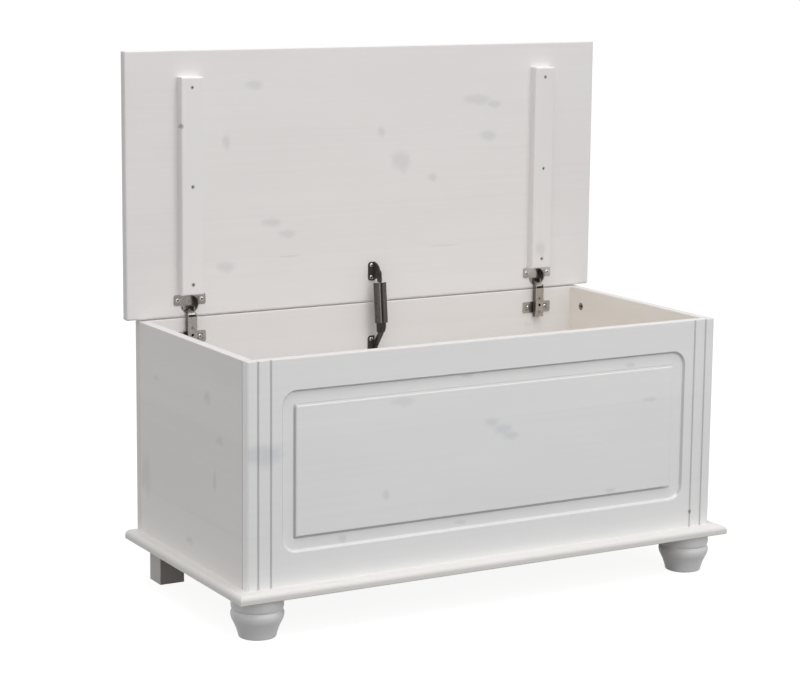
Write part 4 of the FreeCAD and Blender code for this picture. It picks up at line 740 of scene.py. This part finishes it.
# %% Profile with rounded corners
def rounded_profile(corners, cuts, steps=7):
    """Points of a run of straight lines with a soft bend at each corner.

    A bend starts at its cut distance before the corner and ends as far after it. Between
    them the point is (1-t)^2 of the start, 2t(1-t) of the corner and t^2 of the end."""
    corners = np.asarray(corners, float)
    share = np.linspace(0.0, 1.0, steps)[:, None]
    rows = [corners[:1]]
    for before, corner, after, cut in zip(corners, corners[1:], corners[2:], cuts):
        back = (before - corner) / np.linalg.norm(before - corner)
        onward = (after - corner) / np.linalg.norm(after - corner)
        start = corner + back * cut
        end = corner + onward * cut
        rows.append((1 - share) ** 2 * start + 2 * share * (1 - share) * corner
                    + share ** 2 * end)
    rows.append(corners[-1:])
    return np.concatenate(rows)


def grid_faces(rows, columns):
    """Corner numbers of the quads of a grid whose last column joins the first."""
    row = np.arange(rows - 1)[:, None]
    column = np.arange(columns)[None, :]
    after = (column + 1) % columns
    quads = np.stack([row * columns + column, row * columns + after,
                      (row + 1) * columns + after, (row + 1) * columns + column], axis=-1)
    return quads.reshape(-1, 4)


SAME_PLACE = 1e-6


def new_piece(name, points, faces, material, recess=None):
    """A smooth mesh object from arrays of points and quads.

    Points in one place become one, which closes seams and poles. The recess value, from 0
    to 1 at each point, is painted shade that the metal finishes darken by."""
    mesh = bpy.data.meshes.new(name)
    mesh.from_pydata(points.reshape(-1, 3).tolist(), [], faces.tolist())
    if recess is not None:
        marks = mesh.attributes.new("recess", "FLOAT", "POINT")
        marks.data.foreach_set("value", recess.ravel())
    welded = bmesh.new()
    welded.from_mesh(mesh)
    bmesh.ops.remove_doubles(welded, verts=welded.verts, dist=SAME_PLACE)
    welded.to_mesh(mesh)
    welded.free()
    mesh.polygons.foreach_set("use_smooth", np.full(len(mesh.polygons), True))
    mesh.materials.append(material)
    mesh.update()
    piece = bpy.data.objects.new(name, mesh)
    bpy.context.scene.collection.objects.link(piece)
    return piece


print("surface helpers are ready")


# %% Turning
def turned(profile, centre, segments=96):
    """A profile of radius and height carried round an upright axis.

    The point at angle a is the centre plus (r cos a, r sin a, h)."""
    angle = np.linspace(0.0, 2 * np.pi, segments, endpoint=False)
    radius = profile[:, 0][:, None]
    height = np.broadcast_to(profile[:, 1][:, None], (len(profile), segments))
    points = np.stack([radius * np.cos(angle), radius * np.sin(angle), height], axis=-1)
    return points + np.asarray(centre), grid_faces(len(profile), segments)


print("turning is ready")

# %% [markdown]
# ## The turned feet
#
# Each front foot is a small turned bun: two beads with a notch between them, and below
# them a cup that narrows to the floor. The CAD foot has the same profile with sharp
# bevels. This one takes its corners from the same sizes and rounds them, as sandpaper and
# glaze do.

# %% Turned feet
FOOT_CORNERS = np.array([
    (0.0, 0.0), (32.4, 0.0), (34.0, 8.0), (38.9, 21.5), (45.2, 33.5), (46.6, 43.5),
    (42.6, 48.2), (45.5, 51.8), (45.2, 72.0), (0.0, 72.0)]) * MM
FOOT_CUTS = np.array([2.0, 5.0, 6.5, 5.2, 4.8, 0.9, 3.4, 0.2]) * MM

FOOT_WHITE, FOOT_SHADE = linear(238, 237, 237), linear(222, 221, 221)

foot_glaze = glazed_pine("foot_glaze", "z", FOOT_WHITE, FOOT_SHADE)
foot_profile = rounded_profile(FOOT_CORNERS, FOOT_CUTS)
for hand in ("left", "right"):
    node = "foot_front_" + hand
    middle = (low(node) + high(node)) / 2
    points, faces = turned(foot_profile, (middle[0], middle[1], 0.0))
    foot = new_piece("turned_foot_" + hand, points, faces, foot_glaze)
    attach(foot, "carcass")
    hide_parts(node)
    print(foot.name, len(foot.data.polygons), "faces")

# %% [markdown]
# ## Metal and enamel
#
# The hinges are pressed steel with a semi-bright nickel plate. Their screws and the stay's
# have a brighter one, and the other screws are zinc plated. The stay is covered in dark
# satin enamel. All metal has a little uneven wear in its gloss, which the shared grain
# group gives. Where a piece carries an attribute that marks its recesses, the finish turns
# dark by its value: painted shade in the bottom of a screw's cross and round the rim of
# some heads. A piece without it reads 0 and stays as it is.


# %% Metal finishes
# Near black for painted shade: in screws' crosses and round some heads, in the keyholes, beside
# the arms, round the plate screws and inside the cups.
DEEP_SHADE = linear(26, 25, 24)
WEAR_RANGE = (0.3, 0.7)
DENT_STRENGTH, DENT_HEIGHT = 0.15, 0.0002


def plated_metal(name, colour, dull, gloss, grain, strokes=()):
    """Plated metal: gloss is the range of its roughness, grain the fineness of its bumps."""
    material, tree, shader, place = surface(name)
    worn = use_group(tree, METAL_GRAIN, {"Vector": place, "Scale": grain})
    mixed = mix_colour(tree, worn.outputs["Wear"], colour, dull)
    mixed = painted(tree, place, mixed, strokes)
    # Painted shade: the finish turns dark by the piece's recess value.
    recess = add_node(tree, "ShaderNodeAttribute", attribute_name="recess")
    mixed = mix_colour(tree, recess.outputs["Fac"], mixed, DEEP_SHADE)
    tree.links.new(mixed, shader.inputs["Base Color"])
    shader.inputs["Metallic"].default_value = 1.0
    rough = add_node(tree, "ShaderNodeMapRange",
                     {"Value": worn.outputs["Wear"], "From Min": WEAR_RANGE[0],
                      "From Max": WEAR_RANGE[1], "To Min": gloss[0], "To Max": gloss[1]})
    tree.links.new(rough.outputs["Result"], shader.inputs["Roughness"])
    bump = add_node(tree, "ShaderNodeBump",
                    {"Height": worn.outputs["Grain"], "Strength": DENT_STRENGTH,
                     "Distance": DENT_HEIGHT})
    tree.links.new(bump.outputs["Normal"], shader.inputs["Normal"])
    return material


def enamel(name, colour, dull, gloss, grain, strokes=()):
    """Satin enamel or moulded nylon: the same recipe without metal."""
    material = plated_metal(name, colour, dull, gloss, grain, strokes)
    material.node_tree.nodes["Principled BSDF"].inputs["Metallic"].default_value = 0.0
    return material


NICKEL = plated_metal("nickel_plate", linear(186, 182, 176), linear(150, 146, 140),
                      (0.14, 0.34), 700.0)
BRIGHT_NICKEL = plated_metal("bright_nickel", linear(226, 223, 218), linear(196, 192, 186),
                             (0.10, 0.22), 700.0)
ZINC = plated_metal("zinc_plate", linear(196, 196, 194), linear(160, 160, 157),
                    (0.22, 0.36), 900.0)
CAM_METAL = plated_metal("cam_zinc", linear(182, 174, 168), linear(150, 143, 138),
                         (0.40, 0.60), 600.0)
STAY_ENAMEL = enamel("stay_enamel", linear(66, 62, 58), linear(54, 51, 48),
                     (0.34, 0.46), 900.0)
STAY_NYLON = enamel("stay_nylon", linear(52, 50, 48), linear(44, 42, 40), (0.5, 0.62), 700.0)
print("metal finishes are ready")

# %% Stay cover and dowels
COVER_MIDDLE = (low("stay_cover") + high("stay_cover")) / 2
SEAM_HIGHLIGHT, SEAM_SHADE = linear(140, 133, 129), linear(16, 15, 14)
SEAM_SOFT = 0.0012


def cover_seam(shift, half, tone, amount):
    """A stroke of painted light or shade down the whole stay cover, at a shift from its middle.
    """
    x, y, z = COVER_MIDDLE
    return (x + shift, y, z), (half, WHOLE, WHOLE), SEAM_SOFT, tone, amount


# A painted highlight down the left barrel's edge, and painted shade in the groove between the
# barrels.
COVER_SEAMS = [cover_seam(-0.0042, 0.0005, SEAM_HIGHLIGHT, 0.8),
               cover_seam(0.0, 0.0014, SEAM_SHADE, 0.95)]
STAY_COVER = enamel("stay_cover_enamel", linear(84, 75, 73), linear(66, 58, 56),
                    (0.24, 0.34), 900.0, COVER_SEAMS)
BEECH = glazed_pine("bare_beech", "y", linear(206, 172, 136), linear(180, 144, 108))
print("stay cover and dowels have their finish")

# %% [markdown]
# ## Hinge metal
#
# A hinge is bent and drawn from thin sheet. Its cheeks, its keyhole and the inside of its
# cup face away from the light, and look darker than its flat faces. The recesses are only
# a few millimetres deep, where a renderer gathers little shade, so a few soft dark strokes
# lie there too. They are placed from the corners of each node, and each hinge gets its own.

# %% Hinge metal
# A mid-dark tone for painted shade on the arms' cheeks and inside the cups; the flanges are
# toned a little darker with it too.
SIDE_TONE = linear(104, 96, 92)
HINGE_WHITE, HINGE_DULL = linear(206, 203, 198), linear(172, 168, 163)
ARM_TOP_DROP, KEYHOLE_DROP = 0.0008, 0.0413
KEYHOLE_Z = high("hinge_arm_left")[2] + ARM_TOP_DROP - KEYHOLE_DROP
CUP_SPREAD, PLATE_SPREAD = 0.024, 0.020
EAR_THICK = 0.0014
CUP_DEEP = 0.0115


def hinge_metal(name, strokes):
    """Nickel with strokes of painted shade where the pressed sheet turns away or opens."""
    return plated_metal(name, HINGE_WHITE, HINGE_DULL, (0.16, 0.32), 700.0, strokes)


def corners_and_middle(node):
    """The lowest corner, the highest corner and the middle of a node."""
    lowest, highest = low(node), high(node)
    return lowest, highest, (lowest + highest) / 2


def arm_nickel(hand):
    """The arm: painted shade on its cheeks makes them darker than its face."""
    lowest, highest, middle = corners_and_middle("hinge_arm_" + hand)
    cheeks = [((x, middle[1] + 0.001, middle[2]), (0.0005, 0.0055, 0.04), 0.0004, SIDE_TONE,
               0.85) for x in (lowest[0], highest[0])]
    return hinge_metal("arm_nickel_" + hand, cheeks)


def plate_nickel(hand):
    """The plate: painted shade in the keyhole's bore, beside the arm and round its screws."""
    lowest, highest, middle = corners_and_middle("hinge_plate_" + hand)
    face = highest[1] - EAR_THICK
    hole = ((middle[0], lowest[1], KEYHOLE_Z), (0.0034, 0.0045, 0.0034), 0.0002, DEEP_SHADE,
            1.0)
    beside = ((middle[0], face, middle[2]), (0.0115, 0.0004, 0.02), 0.0015, DEEP_SHADE, 0.6)
    rings = [((middle[0] + lean * PLATE_SPREAD, face, middle[2]), (0.0034, 0.0006, 0.0034),
              0.0030, DEEP_SHADE, 0.75) for lean in (-1, 1)]
    return hinge_metal("plate_nickel_" + hand, [hole, beside, *rings])


def cup_nickel(hand):
    """The cup: painted shade inside, darkest at the right and its mouth; its flange is darker.
    """
    lowest, highest, middle = corners_and_middle("hinge_cup_" + hand)
    x, y, z = middle[0], highest[1], middle[2]
    inside = ((x, y, z), (0.017, CUP_DEEP, 0.018), 0.0008, SIDE_TONE, 0.30)
    crescent = ((x + 0.0135, y, z + 0.002), (0.0015, CUP_DEEP, 0.006), 0.007, DEEP_SHADE, 0.62)
    mouth = ((x + 0.003, y, z - 0.009), (0.004, CUP_DEEP, 0.002), 0.004, DEEP_SHADE, 0.8)
    flange = ((x, lowest[1], z), (0.04, 0.0008, 0.03), 0.0004, SIDE_TONE, 0.3)
    return hinge_metal("cup_nickel_" + hand, [inside, crescent, mouth, flange])


print("hinge metal recipes are ready")

# %% Metal nodes
FINISHES = {
    "nickel_plate": NICKEL, "zinc_plate": ZINC, "cam_zinc": CAM_METAL,
    "stay_enamel": STAY_ENAMEL, "stay_nylon": STAY_NYLON, "beech": BEECH,
}
for row in frame["record"]["subparts"]:
    if row["material_slot"] in FINISHES:
        finish_node(row["node"], FINISHES[row["material_slot"]])
finish_node("stay_cover", STAY_COVER)
for hand in ("left", "right"):
    finish_node("hinge_arm_" + hand, arm_nickel(hand))
    finish_node("hinge_plate_" + hand, plate_nickel(hand))
    finish_node("hinge_cup_" + hand, cup_nickel(hand))
print("fittings are finished")

# %% [markdown]
# ## Screws and cam locks
#
# Every visible screw has a cross recess, and so has the drum of each cam lock. A head is a
# disc whose height depends on both the distance from its centre and the place across it: a
# shallow dome, less a pit where the cross is. That makes the head a surface over a round
# grid. The same run of rows goes on round the rim and down the shank, so a screw is one
# closed skin.


# %% Screw surface
SCREW_CROSS = {"width": 0.0015, "reach": 0.0024, "depth": 0.0016, "soft": 0.0004}
HEAD_ROWS, HEAD_COLUMNS = 22, 48
RING_SOFT = 0.06


def smooth_step(value):
    """0 below 0, 1 above 1 and 3v^2 - 2v^3 between them."""
    value = np.clip(value, 0.0, 1.0)
    return value ** 2 * (3 - 2 * value)


def screw_surface(radius, dome, rim, shank, length, cross, ring=1.0):
    """One screw that points along +Y: its skin from the middle of the head to the tip.

    Over the head, y is the dome's fall, dome times the square of r over radius, plus the
    depth of the cross: its full depth where the smaller of |x| and |z| is within half its
    width and the larger is within its reach. The share of that depth, and the head's rim past
    a given share of its radius, make the recess value: painted shade for the metal finish."""
    angle = np.linspace(0.0, 2 * np.pi, HEAD_COLUMNS, endpoint=False)[None, :]
    around = np.ones_like(angle)
    r = np.linspace(0.0, radius, HEAD_ROWS)[:, None]
    x, z = r * np.sin(angle), r * np.cos(angle)
    thin, long = np.minimum(abs(x), abs(z)), np.maximum(abs(x), abs(z))
    soft = cross["soft"]
    recess = (smooth_step((cross["width"] / 2 + soft / 2 - thin) / soft)
              * smooth_step((cross["reach"] - long) / soft))
    y = dome * (r / radius) ** 2 + cross["depth"] * recess
    # Past the given share of the radius, the head's rim is painted shade as well.
    recess = np.maximum(recess, smooth_step((r / radius - ring) / RING_SOFT) * around)
    below = np.array([(radius, rim), (shank, rim), (shank, length), (0.0, length)])
    x = np.concatenate([x, below[:, :1] * np.sin(angle)])
    z = np.concatenate([z, below[:, :1] * np.cos(angle)])
    y = np.concatenate([y, below[:, 1:] * around])
    recess = np.concatenate([recess, np.zeros((len(below), HEAD_COLUMNS))])
    return np.stack([x, y, z], axis=-1), recess


QUARTER_TURNS = {
    "+y": np.eye(3),
    "+x": np.array([[0.0, 1.0, 0.0], [-1.0, 0.0, 0.0], [0.0, 0.0, 1.0]]),
    "-x": np.array([[0.0, -1.0, 0.0], [1.0, 0.0, 0.0], [0.0, 0.0, 1.0]]),
}


def screw_set(name, node, body, places, material, slot, cross=SCREW_CROSS, **sizes):
    """All the screws of one node as one piece that stands for that node.

    Each place is the middle of a head with the way the screw points. A quarter turn about
    Z takes the skin from +Y to that way, and the place is added."""
    skin, recess = screw_surface(cross=cross, **sizes)
    quads = grid_faces(len(skin), HEAD_COLUMNS)
    flat = skin.reshape(-1, 3)
    points = np.concatenate([flat @ QUARTER_TURNS[way].T + np.asarray(face)
                             for face, way in places])
    faces = np.concatenate([quads + number * len(flat) for number in range(len(places))])
    piece = new_piece(name, points, faces, material,
                      recess=np.tile(recess.ravel(), len(places)))
    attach(piece, body)
    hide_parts(node)
    print(name, len(places), "heads")


# %% Batten screws
BATTEN_Y = low("batten_left")[1]
BATTEN_LOW, BATTEN_HIGH = low("batten_left")[2], high("batten_left")[2]
SCREW_INSET = 0.019
BATTEN_LEVELS = (BATTEN_LOW + SCREW_INSET, (BATTEN_LOW + BATTEN_HIGH) / 2,
                 BATTEN_HIGH - SCREW_INSET)
HINGE_X = (low("batten_right")[0] + high("batten_right")[0]) / 2
screw_set("batten_cross_screws", "batten_screws", "lid",
          [((side * HINGE_X, BATTEN_Y, level), "+y")
           for side in (-1, 1) for level in BATTEN_LEVELS],
          ZINC, "zinc_plate", radius=0.0036, dome=-0.0002, rim=0.0006, shank=0.0018,
          length=0.030)

# %% Hinge screws
HEAD_STAND = 0.0016
FLANGE_THICK = 0.0012
PAN = {"radius": 0.0040, "dome": 0.0012, "rim": HEAD_STAND, "shank": 0.0018, "length": 0.013}
ARM_SCREW = 0.003
ARM_CROSS = {"width": 0.0013, "reach": 0.0020, "depth": 0.0014, "soft": 0.0003}


def pan_screws(name, node, body, face_y, spread):
    """Two pan-headed screws on each hinge, a spread to each side of its middle."""
    level = (low(node)[2] + high(node)[2]) / 2
    places = [((side * HINGE_X + lean * spread, face_y - HEAD_STAND, level), "+y")
              for side in (-1, 1) for lean in (-1, 1)]
    screw_set(name, node, body, places, BRIGHT_NICKEL, "nickel_plate", **PAN)


pan_screws("cup_cross_screws", "hinge_cup_screws", "lid", LID_Y - FLANGE_THICK, CUP_SPREAD)
pan_screws("plate_cross_screws", "hinge_plate_screws", "carcass",
           low("back_panel")[1] - EAR_THICK, PLATE_SPREAD)
# The arm screws' heads get a ring of painted shade round their rim.
arm_low, arm_high = low("hinge_arm_screws"), high("hinge_arm_screws")
screw_set("arm_cross_screws", "hinge_arm_screws", "carcass",
          [((side * HINGE_X, arm_low[1], level), "+y")
           for side in (-1, 1) for level in (arm_low[2] + ARM_SCREW, arm_high[2] - ARM_SCREW)],
          BRIGHT_NICKEL, "nickel_plate", cross=ARM_CROSS, radius=ARM_SCREW, dome=0.0003,
          rim=0.0004, shank=0.0026, length=0.0034, ring=0.80)

# %% Stay screws
STAY_SCREW_X = 0.002
for part, body in (("stay_upper_screws", "lid"), ("stay_lower_screws", "carcass")):
    lowest, highest = low(part), high(part)
    half = (highest[0] - lowest[0]) / 2
    levels = (lowest[2] + half, highest[2] - half)
    screw_set(part.replace("screws", "cross_screws"), part, body,
              [((STAY_SCREW_X, lowest[1], level), "+y") for level in levels],
              BRIGHT_NICKEL, "nickel_plate", **PAN)

# %% Cam locks
CAM_RADIUS, CAM_DEPTH = 0.0075, 0.0125
CAM_CROSS = {"width": 0.0028, "reach": 0.0056, "depth": 0.0040, "soft": 0.0006}
cam_low, cam_high = low("cam_locks"), high("cam_locks")
cam_places = [
    ((side * (cam_high[0] - CAM_DEPTH), y, z), "+x" if side > 0 else "-x")
    for side in (-1, 1)
    for y in (cam_low[1] + CAM_RADIUS, cam_high[1] - CAM_RADIUS)
    for z in (cam_low[2] + CAM_RADIUS, cam_high[2] - CAM_RADIUS)]
screw_set("cross_cam_locks", "cam_locks", "carcass", cam_places, CAM_METAL, "cam_zinc",
          cross=CAM_CROSS, radius=CAM_RADIUS, dome=0.0, rim=0.0003, shank=CAM_RADIUS,
          length=CAM_DEPTH)
